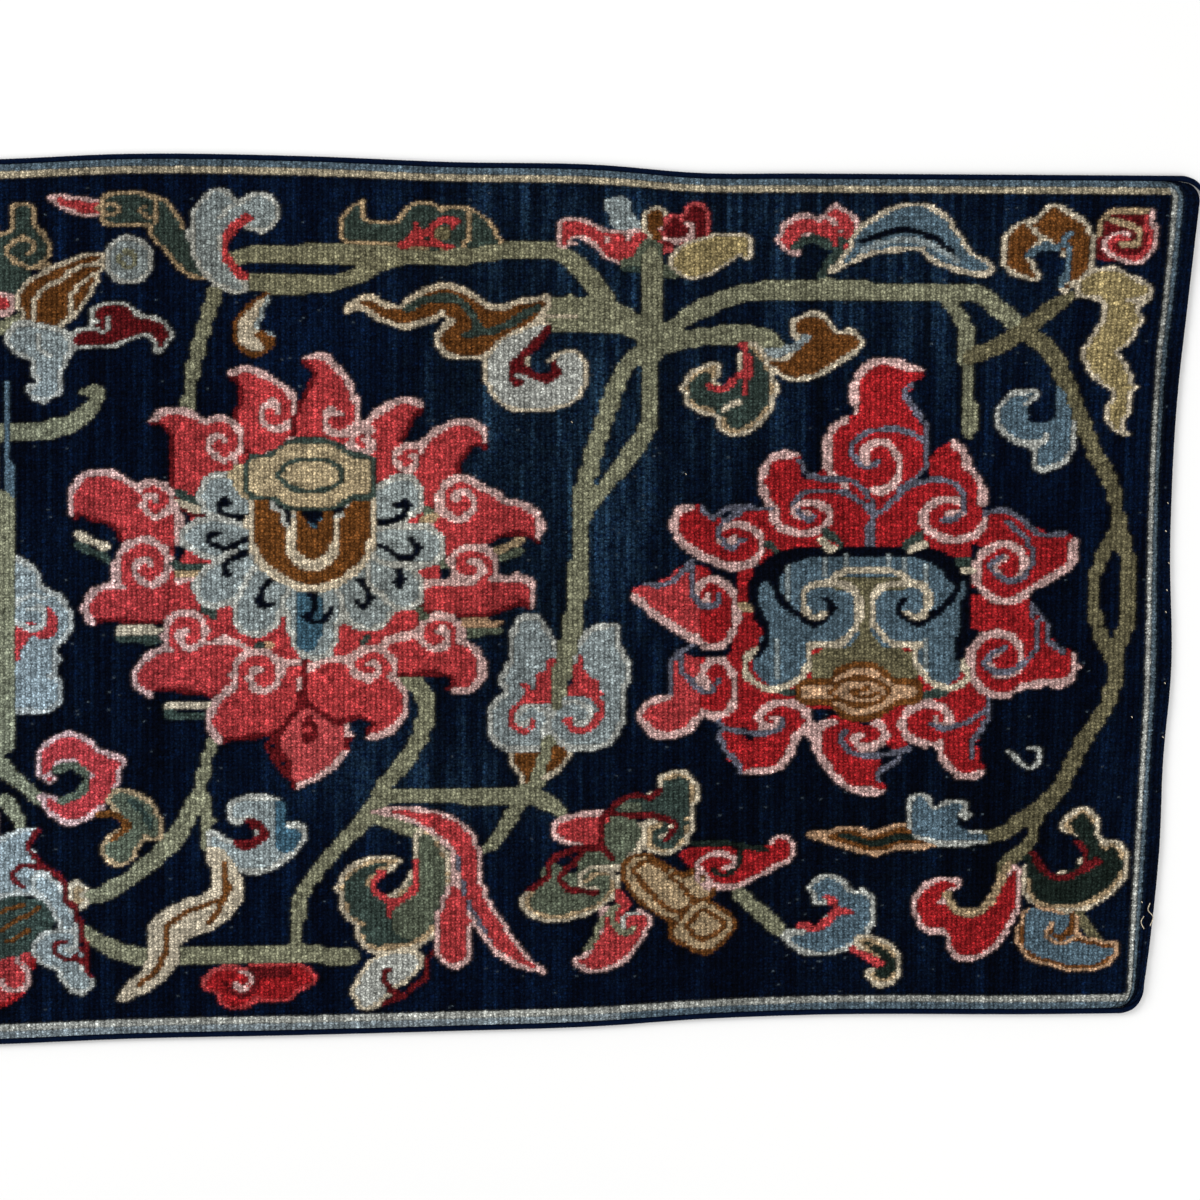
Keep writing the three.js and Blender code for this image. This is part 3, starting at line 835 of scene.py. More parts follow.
def compound_flower(chart):
    """The flower of many parts along the bottom: leaves, flames, a dark curl and tan buds."""
    chart.paint("red", "rose", [(566, 830, 14), (582, 830, 18), (602, 830, 19)], width=5)
    chart.paint("leaf", ("cream", "tan"), [(535, 903, 15), (555, 903, 20), (585, 893, 22), (602, 885, 18)],
            width=4)
    chart.paint("leaf", None, [(552, 872, 10), (560, 880, 12)], [(590, 862, 14), (608, 860, 12)],
            [(545, 895, 11), (590, 880, 12)])
    chart.paint("leaf", ("cream",), [(620, 850, 14), (626, 836, 19)], [(600, 858, 13), (615, 856, 13)],
            width=4.5)
    chart.paint("leaf", None, [(622, 833, 18)], [(592, 862, 9), (607, 858, 6)])
    # dark curl
    chart.paint("moss", ("cream", "tan"), [(665, 782, 9), (680, 788, 18), (676, 805, 20), (672, 830, 20),
            (662, 840, 16)], [(640, 806, 8), (660, 802, 14)], width=4)
    chart.paint("moss", None, [(615, 808, 4), (640, 806, 9), (668, 800, 13), (676, 790, 11)],
            [(674, 822, 13)])
    chart.paint("leaf", None, [(626, 809, 6), (636, 807, 7)])
    chart.paint("moss", None, [(655, 838, 9), (668, 838, 10)])
    chart.line("tan", (652, 848), (649, 838), (651, 829), (660, 824), width=4.5)
    chart.line("cream", (648, 853), (643, 838), (644, 828), (652, 820), (662, 818), (669, 824), (668, 833),
            (661, 838), width=4.5)
    chart.line("cream", (615, 880), (606, 869), (592, 868), (581, 875), (580, 885), (587, 891), (595, 888),
            width=4.5)
    chart.line("tan", (588, 884), (589, 877), (597, 875), width=4.5)
    chart.line("cream", (612, 872), (626, 864), (637, 852), width=4.5)
    for line in WINE_LINES:
        chart.line("wine", *line, width=6)
    # pink flame under it
    chart.paint("red", "rose", [(575, 961, 4), (592, 962, 11), (612, 948, 20), (626, 932, 19),
            (640, 922, 12)], [(608, 915, 9), (610, 935, 12)], width=4.5)
    chart.paint("red", None, [(620, 893, 4), (623, 905, 6), (612, 920, 8), (628, 918, 6)])
    chart.line("bone", (640, 914), (628, 914), (621, 922), (625, 929), width=4.5)
    chart.line("sage", (617, 905), (612, 915), (617, 928), (626, 934), (632, 930), width=6)
    chart.line("sage", (609, 912), (600, 924), (595, 938), (587, 950), width=5)
    # tan buds with brown lines
    chart.paint("tan", "brown", [(640, 872, 20), (660, 888, 26), (682, 905, 22)], [(695, 880, 12),
            (705, 892, 10)], width=5)
    chart.paint("tan", "brown", [(704, 912, 10), (704, 926, 26), (703, 944, 11)], [(684, 932, 15),
            (722, 924, 15)], width=5)
    chart.line("brown", (634, 872), (640, 862), (655, 863), (672, 877), (688, 893), (690, 905), (682, 912),
            (665, 906), (648, 890), (634, 872), width=5)
    chart.line("brown", (687, 926), (702, 911), (716, 916), (727, 925), (714, 935), (697, 938), (687, 926),
            width=5)
    # red flame at its right
    chart.paint("crimson", "rose", [(690, 856, 6), (712, 862, 12), (722, 872, 18), (745, 868, 16),
            (768, 858, 13), (782, 850, 14), (780, 842, 9)], width=5)
    chart.paint("crimson", None, [(683, 855, 5), (700, 853, 7), (735, 856, 8), (765, 854, 9)],
            [(692, 860, 7)])
    chart.line("pine", (692, 843), (730, 844), (764, 850), width=6)
    chart.line("rose", (709, 889), (698, 878), (697, 866), (706, 857), (720, 853), (732, 858), (732, 866),
            (722, 870), width=5)
    chart.line("pine", (739, 852), (741, 861), (734, 870), (722, 876), (713, 871), width=5)


WINE_LINES = (
    ((605, 812), (600, 830), (603, 848), (612, 858)),
    ((608, 812), (620, 800), (635, 796), (650, 797), (660, 790)),
    ((608, 815), (640, 815), (665, 818), (675, 825), (672, 832), (665, 838)),
    ((600, 848), (575, 850), (555, 857), (548, 870), (545, 880), (530, 890)),
    ((585, 850), (575, 862), (563, 872), (562, 882), (572, 890), (597, 893)),
)


def bottom_right(chart):
    """The curls, leaves and ribbon at the lower right."""
    # blue curl
    chart.paint("steel", "bone", [(787, 936, 6), (802, 942, 12), (828, 938, 18), (850, 922, 22),
            (862, 905, 16)], [(872, 898, 5)], [(820, 897, 9), (820, 886, 11), (835, 888, 13), (845, 902, 13)],
            width=5.5)
    chart.paint("steel", None, [(840, 898, 8), (852, 915, 12)])
    chart.line("red", (800, 925), (815, 928), (830, 920), (835, 910), (833, 900), (828, 897), width=8)
    chart.line("red", (835, 912), (848, 912), width=8)
    # green hook
    chart.paint("pine", ("cream", "tan"), [(860, 941, 7), (874, 947, 11), (886, 957, 14), (888, 970, 14),
            (879, 978, 9), (869, 973, 5)], width=4)
    chart.line("red", (852, 949), (866, 956), (880, 964), width=7)
    # brown and green ribbon, and the steel leaf at its end
    chart.paint("pine", ("fawn", "brown"), [(808, 834, 2), (825, 837, 6), (848, 837, 12), (868, 843, 12),
            (882, 842, 13), (900, 836, 13), (920, 838, 11), (936, 844, 4)], width=4.5)
    chart.paint("steel", "bone", [(920, 808, 15), (924, 824, 15), (942, 833, 13), (965, 838, 8),
            (984, 838, 6)], [(940, 820, 13), (952, 810, 11), (963, 808, 7), (967, 816, 4)], width=5)
    chart.paint("steel", None, [(950, 824, 8), (962, 836, 5), (986, 838, 4)], [(922, 826, 10), (945, 815, 8)])
    # crimson curl
    chart.paint("crimson", "rose", [(958, 884, 6), (940, 888, 12), (928, 902, 16), (932, 918, 15),
            (950, 922, 12)], [(1015, 870, 6), (1010, 888, 12), (998, 910, 20), (978, 932, 25),
            (966, 942, 20)], width=5.5)
    chart.paint("crimson", None, [(940, 912, 8), (962, 924, 9)], [(995, 890, 8), (982, 906, 8)])
    chart.paint("navy", None, [(963, 896, 8), (974, 897, 12), (984, 882, 10), (990, 868, 7)])
    chart.line("tan", (948, 893), (950, 903), (959, 911), (975, 913), (989, 903), (998, 886), (1008, 866),
            width=8)
    # green curl
    chart.paint("pine", ("cream", "tan"), [(1070, 826, 10), (1084, 822, 15), (1090, 838, 12)],
            [(1030, 868, 7), (1040, 888, 18), (1060, 893, 20), (1085, 885, 24), (1105, 868, 24),
            (1112, 856, 16)], [(1100, 850, 10)], width=4)
    chart.paint("pine", None, [(1083, 826, 9), (1092, 846, 8), (1100, 860, 12)], [(1030, 858, 6),
            (1040, 880, 10)], [(1060, 886, 10), (1085, 876, 12)])
    chart.paint("navy", None, [(1052, 850, 14), (1064, 856, 15)], [(1068, 842, 8)], [(1050, 840, 12)])
    chart.line("wine", (1033, 853), (1041, 866), (1054, 877), (1068, 877), (1082, 870), (1098, 861), width=7)
    chart.line("wine", (1079, 842), (1085, 852), (1084, 868), width=7)
    # blue leaf with a brown line
    chart.line("olive", (1078, 915), (1090, 930), (1098, 940), width=10)
    chart.paint("steel", ("fawn", "brown"), [(1030, 918, 10), (1034, 940, 18), (1055, 948, 19),
            (1080, 954, 18), (1104, 953, 13), (1115, 945, 6)], [(1040, 920, 14), (1060, 925, 14)], width=3.5)
    chart.paint("steel", None, [(1034, 917, 9), (1046, 920, 8), (1062, 922, 8)])
    chart.line("fawn", (1077, 918), (1077, 932), (1066, 943), (1053, 942), (1047, 932), (1053, 923), width=4)
    chart.line("brown", (1071, 914), (1073, 925), (1068, 935), (1058, 938), (1052, 931), width=4)


def curve_at(table, start, column, place):
    """A smooth curve through a table's points, read at any places along its first column."""
    stations = np.array(table[start], float)
    values = np.array(table[column], float)
    slope = np.gradient(values, stations)
    place = np.clip(place, stations[0], stations[-1])
    index = np.clip(np.searchsorted(stations, place) - 1, 0, len(stations) - 2)
    run = stations[index + 1] - stations[index]
    t = (place - stations[index]) / run
    return ((2 * t**3 - 3 * t**2 + 1) * values[index] + (t**3 - 2 * t**2 + t) * run * slope[index]
            + (3 * t**2 - 2 * t**3) * values[index + 1] + (t**3 - t**2) * run * slope[index + 1])


def ease(value):
    """A smooth step from 0 to 1."""
    t = np.clip(value, 0, 1)
    return t * t * (3 - 2 * t)


def long_side(column, x):
    """How far a long side, far or near, lies from the middle line."""
    return curve_at(LONG_SIDES, "along", column, x)


def weave_place(row, knot):
    """Where points of the weave lie, in the rug's millimetres, for rows and knots that may be fractions."""
    across = knot / KNOTS
    y = -HALF_WIDTH + 2 * HALF_WIDTH * across
    pitch = (STRAIGHT_END + HALF_LENGTH) / ROWS
    line_middle = LINE_ROW + 0.5
    straight = -HALF_LENGTH + pitch * np.minimum(row, line_middle)
    straight_line = -HALF_LENGTH + pitch * line_middle
    slant = ease((straight - SLANT_FROM) / (straight_line - SLANT_FROM))
    beyond = np.maximum(0, (row - line_middle) / (ROWS - line_middle))
    for _ in range(2):
        line = curve_at(END_LINE, "across", "along", y)
        end = curve_at(WORN_END, "across", "along", y)
        x = straight + (line - straight_line) * slant + (end - line) * beyond
        far = long_side("far", x) - CORD_WIDTH
        near = long_side("near", x) + CORD_WIDTH
        y = near + (far - near) * across
    inset = np.clip(CORNER_ROUND - np.minimum(y - near, far - y), 0, CORNER_ROUND)
    cut = CORNER_ROUND - np.sqrt(CORNER_ROUND**2 - inset**2)
    reach = 3 * CORNER_ROUND
    end_gap = (ROWS - row) * ROW_PITCH
    start_gap = row * ROW_PITCH
    x = x - cut * ease(1 - end_gap / reach) + cut * ease(1 - start_gap / reach)
    return x, y


def noise(shape, *scales):
    """Smooth random values over a grid: for each (rows, knots, strength), patches of about that size."""
    spare = 3
    total = np.zeros(shape)
    for rows, knots, strength in scales:
        coarse = rng.standard_normal((int(shape[0] / rows) + spare, int(shape[1] / knots) + spare))
        u = np.arange(shape[0]) / rows
        v = np.arange(shape[1]) / knots
        i, j = u.astype(int), v.astype(int)
        a, b = ease(u - i)[:, None], ease(v - j)[None, :]
        top = coarse[np.ix_(i, j)] * (1 - b) + coarse[np.ix_(i, j + 1)] * b
        low = coarse[np.ix_(i + 1, j)] * (1 - b) + coarse[np.ix_(i + 1, j + 1)] * b
        total += strength * (top * (1 - a) + low * a)
    return total


def woven_dyes():
    """The chart of the whole rug, with the dye of every knot.

    The part that the photograph hides is drawn first, as a mirror of the other end."""
    row, knot = np.meshgrid(np.arange(ROWS) + 0.5, np.arange(KNOTS) + 0.5, indexing="ij")
    x, y = weave_place(row, knot)
    x, y = CHART_MIDDLE[0] + x, CHART_MIDDLE[1] - y
    hidden = x < 0
    mirrored = Chart(np.where(hidden, CHART_MIRROR - x, NOWHERE), y)
    draw(mirrored)
    chart = Chart(x, y)
    chart.dye = np.where(hidden, mirrored.dye, chart.dye)
    draw(chart)
    frame_lines(chart)
    return chart


# How many knots from the side each frame line reaches, and the place on the chart where the near one's pale
# yarn gives out
OUTER_LINE = 2
INNER_LINE = 4
FADED_UP_TO = 620


def frame_lines(chart):
    """The lines round the rug: a pale one inside a blue one, one row each at the ends."""
    row, knot = np.indices(chart.dye.shape)
    side = np.minimum(knot, KNOTS - 1 - knot)
    out = np.maximum(row, ROWS - 1 - row) - LINE_ROW
    inner = (out == 0) & (side >= OUTER_LINE) | (out < 0) & (side >= OUTER_LINE) & (side < INNER_LINE)
    outer = (out == 1) | (out < 1) & (side < OUTER_LINE)
    pale = (knot < OUTER_LINE) & (chart.x < FADED_UP_TO)
    chart.put(inner, "bone")
    chart.put(inner & (knot > KNOTS / 2) & (out < 0), "straw")
    chart.put(outer, "stripe")
    chart.put(outer & pale, "faded")
    chart.put(out > 1, "navy")


def doubled(grid):
    """Values of knots, given to each of their four tufts."""
    return np.repeat(np.repeat(grid, 2, axis=0), 2, axis=1)


def tuft_dyes(dye):
    """The dye of each knot's four tufts, with the steps of the outlines rounded as clipping does."""
    padded = np.pad(dye, 1, mode="edge")
    up, down = padded[:-2, 1:-1], padded[2:, 1:-1]
    left, right = padded[1:-1, :-2], padded[1:-1, 2:]
    fine = doubled(dye)
    for i, (one, other) in enumerate(((up, down), (down, up))):
        for j, (near, far) in enumerate(((left, right), (right, left))):
            turn = (one == near) & (one != far) & (other != near)
            fine[i::2, j::2][turn] = one[turn]
    return fine


def linear(colour):
    """The linear light of colours given from 0 to 255."""
    value = np.asarray(colour, float) / 255
    return np.where(value < 0.04045, value / 12.92, ((value + 0.055) / 1.055) ** 2.4)


# How uneven the yarns are: streaks of so many rows and knots with their strengths, how much of them shows in
# the navy and in the other yarns, and how much one knot and one tuft differ from the next
STREAKS = ((1, 17, 0.2), (2.3, 45, 0.2), (14, 160, 0.14))
NAVY_STREAKED = 1.2
OTHERS_STREAKED = 0.4
KNOT_VARIES = 0.23
TUFT_VARIES = 0.13

# The navy is darkened beside a motif as painted shade, and pale specks show in it
SHADE_BESIDE_MOTIF = 0.62
NAVY_SPECK = (66, 78, 88)
SPECKS = 0.0025

# The navy fades towards this colour: a little everywhere and more in patches, and there from least to most
# where the streaks have these values
NAVY_FADED = (42, 68, 86)
FADE = {"everywhere": 0.05, "least": 0.2, "more": 1.5, "from": -0.3, "over": 0.8, "tuft": 1.3}

# Where the navy has faded: places on the chart, the reach both ways, and how much
FADED_PATCHES = (
    {"x": 505, "y": 440, "along": 75, "across": 200, "much": 1.0},
    {"x": 620, "y": 430, "along": 80, "across": 170, "much": 0.7},
    {"x": 700, "y": 225, "along": 230, "across": 60, "much": 0.4},
    {"x": 430, "y": 780, "along": 110, "across": 60, "much": 0.4},
    {"x": 880, "y": 310, "along": 150, "across": 90, "much": 0.4},
    {"x": 740, "y": 440, "along": 50, "across": 60, "much": 0.4},
    {"x": -300, "y": 600, "along": 120, "across": 200, "much": 0.6},
)

# Where the navy is deepest
DEEP_PATCHES = (
    {"x": 880, "y": 840, "along": 300, "across": 230, "much": 0.5},
    {"x": 20, "y": 760, "along": 130, "across": 260, "much": 0.35},
)

# Where the other yarns are lighter, or below zero darker
LIGHT_PATCHES = (
    {"x": 150, "y": 240, "along": 170, "across": 110, "much": -0.22},
    {"x": 530, "y": 650, "along": 50, "across": 60, "much": -0.15},
    {"x": 240, "y": 850, "along": 80, "across": 50, "much": 0.2},
    {"x": 885, "y": 390, "along": 70, "across": 70, "much": 0.3},
    {"x": 415, "y": 515, "along": 70, "across": 60, "much": 0.3},
    {"x": 40, "y": 865, "along": 60, "across": 60, "much": 0.3},
    {"x": 1163, "y": 400, "along": 14, "across": 260, "much": -0.4},
    {"x": 900, "y": 999, "along": 260, "across": 6, "much": -0.3},
)

# Where they lean to blue, or below zero to yellow, and how much each part of the light changes there
BLUE_PATCHES = (
    {"x": 40, "y": 760, "along": 130, "across": 190, "much": 0.4},
    {"x": 40, "y": 430, "along": 80, "across": 70, "much": 0.2},
    {"x": 350, "y": 270, "along": 250, "across": 60, "much": -0.18},
    {"x": 370, "y": 560, "along": 90, "across": 120, "much": -0.1},
)
TOWARDS_BLUE = (0.2, 0.55, 1.0)


def spread(chart, patches):
    """How much a table of patches reaches each knot."""
    reach = np.zeros(chart.dye.shape)
    for patch in patches:
        reach += patch["much"] * np.exp(-((chart.x - patch["x"]) / patch["along"])**2
                                        - ((chart.y - patch["y"]) / patch["across"])**2)
    return reach


def dye_colours(dye):
    """The linear colours of dyes given by number."""
    return linear(list(DYES.values()))[dye]


def tuft_colours(chart, fine):
    """The colour of every tuft: its dye, changed by the batch of yarn and by the knot, with painted shade on
    the navy beside a motif.
    """
    shape = chart.dye.shape
    streaks = noise(shape, *STREAKS)
    navy = chart.dye == DYE_NUMBERS["navy"]
    streaked = np.where(navy, NAVY_STREAKED, OTHERS_STREAKED)
    knot_tone = np.exp(streaked * streaks + rng.normal(0, KNOT_VARIES, shape))
    # Painted shade: the navy knots that border a motif are darkened
    knot_tone[outer_knots(navy, KNOT_PITCH)] *= SHADE_BESIDE_MOTIF
    knot_tone *= 1 + np.where(navy, -spread(chart, DEEP_PATCHES), spread(chart, LIGHT_PATCHES))
    tone = doubled(knot_tone) * np.exp(rng.normal(0, TUFT_VARIES, fine.shape))
    tint = doubled(np.where(navy, 0, spread(chart, BLUE_PATCHES)))
    colour = dye_colours(fine) * tone[..., None] * (1 + tint[..., None] * TOWARDS_BLUE)
    faded = FADE["everywhere"] + spread(chart, FADED_PATCHES)
    in_streaks = FADE["least"] + FADE["more"] * ease((streaks - FADE["from"]) / FADE["over"])
    fade = doubled(navy * faded * in_streaks) * rng.uniform(0, FADE["tuft"], fine.shape)
    colour += fade[..., None] * linear(NAVY_FADED)
    speck = doubled(navy) & (rng.uniform(0, 1, fine.shape) < SPECKS)
    colour[speck] = linear(NAVY_SPECK)
    return colour


def edge_between(fine):
    """Which points of the tuft grid lie between two dyes."""
    padded = np.pad(fine, 1, mode="edge")
    a, b, c, d = padded[:-1, :-1], padded[1:, :-1], padded[:-1, 1:], padded[1:, 1:]
    return (a != b) | (a != c) | (a != d)


# How much of a tuft's corner has its own colour, and how much the mean of the tufts that meet there
OWN_COLOUR = 0.7
MEAN_COLOUR = 0.3


def corner_colours(colour, shade):
    """A colour for each corner of each tuft: mostly its own, and a little of its neighbours', times the
    painted shade at that corner.
    """
    padded = np.pad(colour, ((1, 1), (1, 1), (0, 0)), mode="edge")
    mean = (padded[:-1, :-1] + padded[1:, :-1] + padded[:-1, 1:] + padded[1:, 1:]) / 4
    rows, knots = colour.shape[:2]
    corners = []
    for i, j in CORNERS:
        here = np.s_[i:i + rows, j:j + knots]
        corners.append((OWN_COLOUR * colour + MEAN_COLOUR * mean[here]) * shade[here][..., None])
    return np.stack(corners, axis=2)


def new_piece(name, vertices, faces, material, map_places, colours, smooth=True):
    """A mesh piece with its texture map, and with a colour at each corner of each face."""
    mesh = bpy.data.meshes.new(name)
    mesh.from_pydata(vertices, [], faces)
    layer = mesh.uv_layers.new(name="OFBake")
    layer.data.foreach_set("uv", np.asarray(map_places, np.float32).ravel())
    rgba = np.ones((len(mesh.loops), 4), np.float32)
    rgba[:, :3] = colours
    mesh.color_attributes.new("dye", "FLOAT_COLOR", "CORNER").data.foreach_set("color", rgba.ravel())
    if smooth:
        mesh.polygons.foreach_set("use_smooth", np.ones(len(mesh.polygons), bool))
    mesh.materials.append(material)
    mesh.update()
    piece = bpy.data.objects.new(name, mesh)
    bpy.context.scene.collection.objects.link(piece)
    return piece


def folded_map(rows, columns, folds, margin, gap):
    """Texture map places for the corners of a grid of faces, with its rows laid out in so many folds."""
    block = math.ceil(rows / folds)
    row, column = np.indices((rows, columns))
    fold = row // block
    places = []
    for right, up in CORNERS:
        u = margin + (1 - 2 * margin) * (row - fold * block + right) / block
        v = (fold + gap + (1 - 2 * gap) * (column + up) / columns) / folds
        places.append(np.stack([u, v], axis=-1))
    return np.stack(places, axis=2).reshape(-1, 2)


def spare_map(count, middle, radius, step):
    """Texture map places for the corners of plain faces, round a spare spot of the map."""
    angle = np.arange(count) * step
    return np.stack([middle + radius * np.cos(angle), middle + radius * np.sin(angle)], axis=-1)


# The pile is built as strips, and the texture map of each is folded and keeps a margin
STRIPS = 4
FOLDS = 3
MAP_MARGIN = 0.012

# How deep the pile dips, in millimetres: between rows, between knots, and between two dyes
GROOVE = 1.5
NOTCH = 0.8
CARVED = 0.8

# The least and most of a groove and of a notch that there is at any one point
GROOVE_RANGE = (0.5, 1.1)
NOTCH_RANGE = (0.2, 1.1)

# Painted shading: how light the wool is on the tops of the knots, and how much darker between rows and
# between knots
TOP_SHADE = 1.22
GROOVE_SHADE = 0.68
NOTCH_SHADE = 0.25

# How far the points wander, in knots, and how high the pile stands and how uneven it is, in millimetres
WANDER = 0.13
PILE_RISE = 0.3
HUMMOCKS = (12, 12, 0.12)
TUFTS_UNEVEN = 0.16

# How much lower the pile is at the rug's sides and ends, and from how far in, in millimetres
SIDE_DROP = {"height": 2.4, "reach": 5}
END_DROP = {"height": 3.6, "reach": 8}


def pile_grid(fine):
    """The pile's surface: places in millimetres and painted shades, on a grid of two points a knot both ways.
    """
    row, knot = np.meshgrid(np.arange(2 * ROWS + 1) / 2, np.arange(2 * KNOTS + 1) / 2, indexing="ij")
    shape = row.shape
    wander = np.full(shape, WANDER)
    wander[[0, -1]] = 0
    wander[:, [0, -1]] = 0
    x, y = weave_place(row + wander * rng.uniform(-1, 1, shape), knot + wander * rng.uniform(-1, 1, shape))
    between_rows = (np.arange(shape[0]) % 2 == 0)[:, None]
    between_knots = (np.arange(shape[1]) % 2 == 0)[None, :]
    groove = between_rows * rng.uniform(*GROOVE_RANGE, shape)
    notch = between_knots * rng.uniform(*NOTCH_RANGE, shape)
    shade = TOP_SHADE - GROOVE_SHADE * groove - NOTCH_SHADE * notch
    low = GROOVE * groove + NOTCH * notch + CARVED * edge_between(fine)
    low += noise(shape, HUMMOCKS) + rng.normal(0, TUFTS_UNEVEN, shape)
    side = np.minimum(knot, KNOTS - knot) * KNOT_PITCH
    end = np.minimum(row, ROWS - row) * ROW_PITCH
    for gap, drop in ((side, SIDE_DROP), (end, END_DROP)):
        low += drop["height"] * (1 - ease(gap / drop["reach"]))
    return np.stack([x, y, CARPET_THICKNESS + PILE_RISE - low], axis=-1), shade


def pile_strips(fine, colour, material):
    """The pile, as closed lengthwise strips that meet edge to edge."""
    points, shade = pile_grid(fine)
    corners = corner_colours(colour, shade)
    edges = np.linspace(0, 2 * KNOTS, STRIPS + 1).round().astype(int)
    strips = []
    for number, (first, last) in enumerate(zip(edges[:-1], edges[1:]), 1):
        strips.append(closed_slab(f"pile_{number}", points[:, first:last + 1], GROUND_THICKNESS,
                                  corners[:, first:last], FOLDS, material))
    return strips


# The spot of a slab's texture map that its plain faces share
SLAB_SPOT = {"middle": 0.004, "radius": 0.002, "step": math.pi / 2}


def closed_slab(name, points, lid_z, corners, folds, material):
    """A grid of tufts or knots, closed into a slab by four walls and a plain lid at one height.

    It is given in millimetres. The walls and lid are of navy wool."""
    rows, knots = points.shape[0] - 1, points.shape[1] - 1
    grid = np.arange(points.shape[0] * points.shape[1]).reshape(points.shape[:2])
    ring = np.concatenate([grid[:-1, 0], grid[-1, :-1], grid[:0:-1, -1], grid[0, :0:-1]])
    foot = points.reshape(-1, 3)[ring].copy()
    foot[:, 2] = lid_z
    below = grid.size + np.arange(len(ring))
    quads = np.stack([grid[:-1, :-1], grid[1:, :-1], grid[1:, 1:], grid[:-1, 1:]], axis=-1).reshape(-1, 4)
    walls = np.stack([ring, below, np.roll(below, -1), np.roll(ring, -1)], axis=-1)
    near = below[:rows + 1]
    far = below[rows + knots:2 * rows + knots + 1][::-1]
    lid = np.stack([near[1:-2], far[1:-2], far[2:-1], near[2:-1]], axis=-1)
    first_end = np.concatenate([near[:2], far[1::-1], below[2 * rows + knots + 1:]])[::-1]
    last_end = below[rows - 1:rows + knots + 2][::-1]
    faces = quads.tolist() + walls.tolist() + lid.tolist() + [first_end.tolist(), last_end.tolist()]

    plain = sum(len(face) for face in faces[len(quads):])
    map_places = [folded_map(rows, knots, folds, MAP_MARGIN, 2 * MAP_MARGIN), spare_map(plain, **SLAB_SPOT)]
    colours = [corners.reshape(-1, 3), np.tile(linear(DYES["navy"]), (plain, 1))]
    vertices = np.concatenate([points.reshape(-1, 3), foot]) / METRE
    return new_piece(name, vertices.tolist(), faces, material, np.concatenate(map_places),
                     np.concatenate(colours), smooth=False)


# The ground in millimetres: how high its underside lies, how much every other knot is higher, how uneven
# it is, and how far it reaches into the pile. Varies is how much the colours of the knots' backs differ.
GROUND = {"lift": 0.25, "relief": 0.25, "uneven": 0.16, "overlap": 0.2, "varies": 0.12}


def ground_weave(dye, material):
    """The woven ground: a thin closed slab whose underside shows the backs of the knots."""
    row, knot = np.meshgrid(np.arange(ROWS + 1.0), np.arange(KNOTS + 1.0), indexing="ij")
    x, y = weave_place(row, knot)
    uneven = np.abs(rng.normal(0, GROUND["uneven"], x.shape))
    z = GROUND["lift"] + uneven + GROUND["relief"] * ((row + knot) % 2)
    colour = dye_colours(dye) * np.exp(rng.normal(0, GROUND["varies"], dye.shape))[..., None]
    corners = np.repeat(colour[:, :, None, :], len(CORNERS), axis=2)
    lid_z = GROUND_THICKNESS + GROUND["overlap"]
    ground = closed_slab("ground_weave", np.stack([x, y, z], axis=-1), lid_z, corners, 1, material)
    ground.data.flip_normals()
    return ground


def ring_angles(sides):
    """The angles round a tube, from its left by way of its underside, so that its faces look outwards."""
    return -2 * math.pi * np.arange(sides) / sides


def tube(path, across, up, height):
    """The points of a tube round a flat path, in millimetres: a ring of them for each place on the path.

    Across and up say how far the points lie from the path, to its left and upwards."""
    way = np.gradient(path, axis=0)
    way /= np.linalg.norm(way, axis=1)[:, None]
    left = np.stack([-way[:, 1], way[:, 0]], axis=-1)
    flat = path[:, None] + left[:, None] * across[..., None]
    return np.concatenate([flat, (height + up)[..., None]], axis=-1)


def tube_faces(rings, sides, first=0):
    """The side faces of a tube, and its two ends."""
    ring, side = np.indices((rings - 1, sides))
    quads = np.stack([first + (ring + i) * sides + (side + j) % sides for i, j in CORNERS], axis=-1)
    ends = first + np.arange(sides), first + rings * sides - 1 - np.arange(sides)
    return quads.reshape(-1, 4).tolist() + [end.tolist() for end in ends]


# The side cords: how finely they are modelled, and the pitch of their turns of wool, in millimetres
CORD_STEPS = 900
CORNER_STEPS = 14
CORD_SIDES = 14
TURN_PITCH = 3.6

# How full a turn is, how deep it dips beside the next one, the painted shade there, and the painted light on
# top
TURN_FULLNESS = 0.6
TURN_DIP = 0.13
TURN_SHADE = {"dip": 0.55, "top": 0.6}

# A cord is a little square, and thins to this share of its size over its last millimetres
SQUARENESS = 0.8
CORD_TIP = 0.35
CORD_TAPER = 30

# The folds of a cord's texture map and their margins, and the spot for its ends
CORD_MAP = {"folds": 16, "margin": 0.005, "gap": 0.04}
CORD_SPOT = {"middle": 0.001, "radius": 0.0005, "step": 1}


def squared(value):
    """A cosine or sine whose curve is a little square."""
    return np.copysign(np.abs(value) ** SQUARENESS, value)


def cord_path(column):
    """The middle line of a side cord, along its long side and round both corners."""
    outward = 1 if column == "far" else -1
    first = -HALF_LENGTH + CORNER_ROUND
    last = WORN_END["along"][-1 if column == "far" else 0] - CORNER_ROUND
    x = np.linspace(first, last, CORD_STEPS)
    path = np.stack([x, long_side(column, x) - outward * CORD_WIDTH / 2], axis=1)
    arc = np.linspace(0, math.pi / 2, CORNER_STEPS)[1:]
    radius = CORNER_ROUND + CORD_WIDTH / 2
    turn = np.stack([np.sin(arc) * radius, (np.cos(arc) - 1) * radius * outward], axis=1)
    return np.concatenate([(path[0] + turn * (-1, 1))[::-1], path, path[-1] + turn])


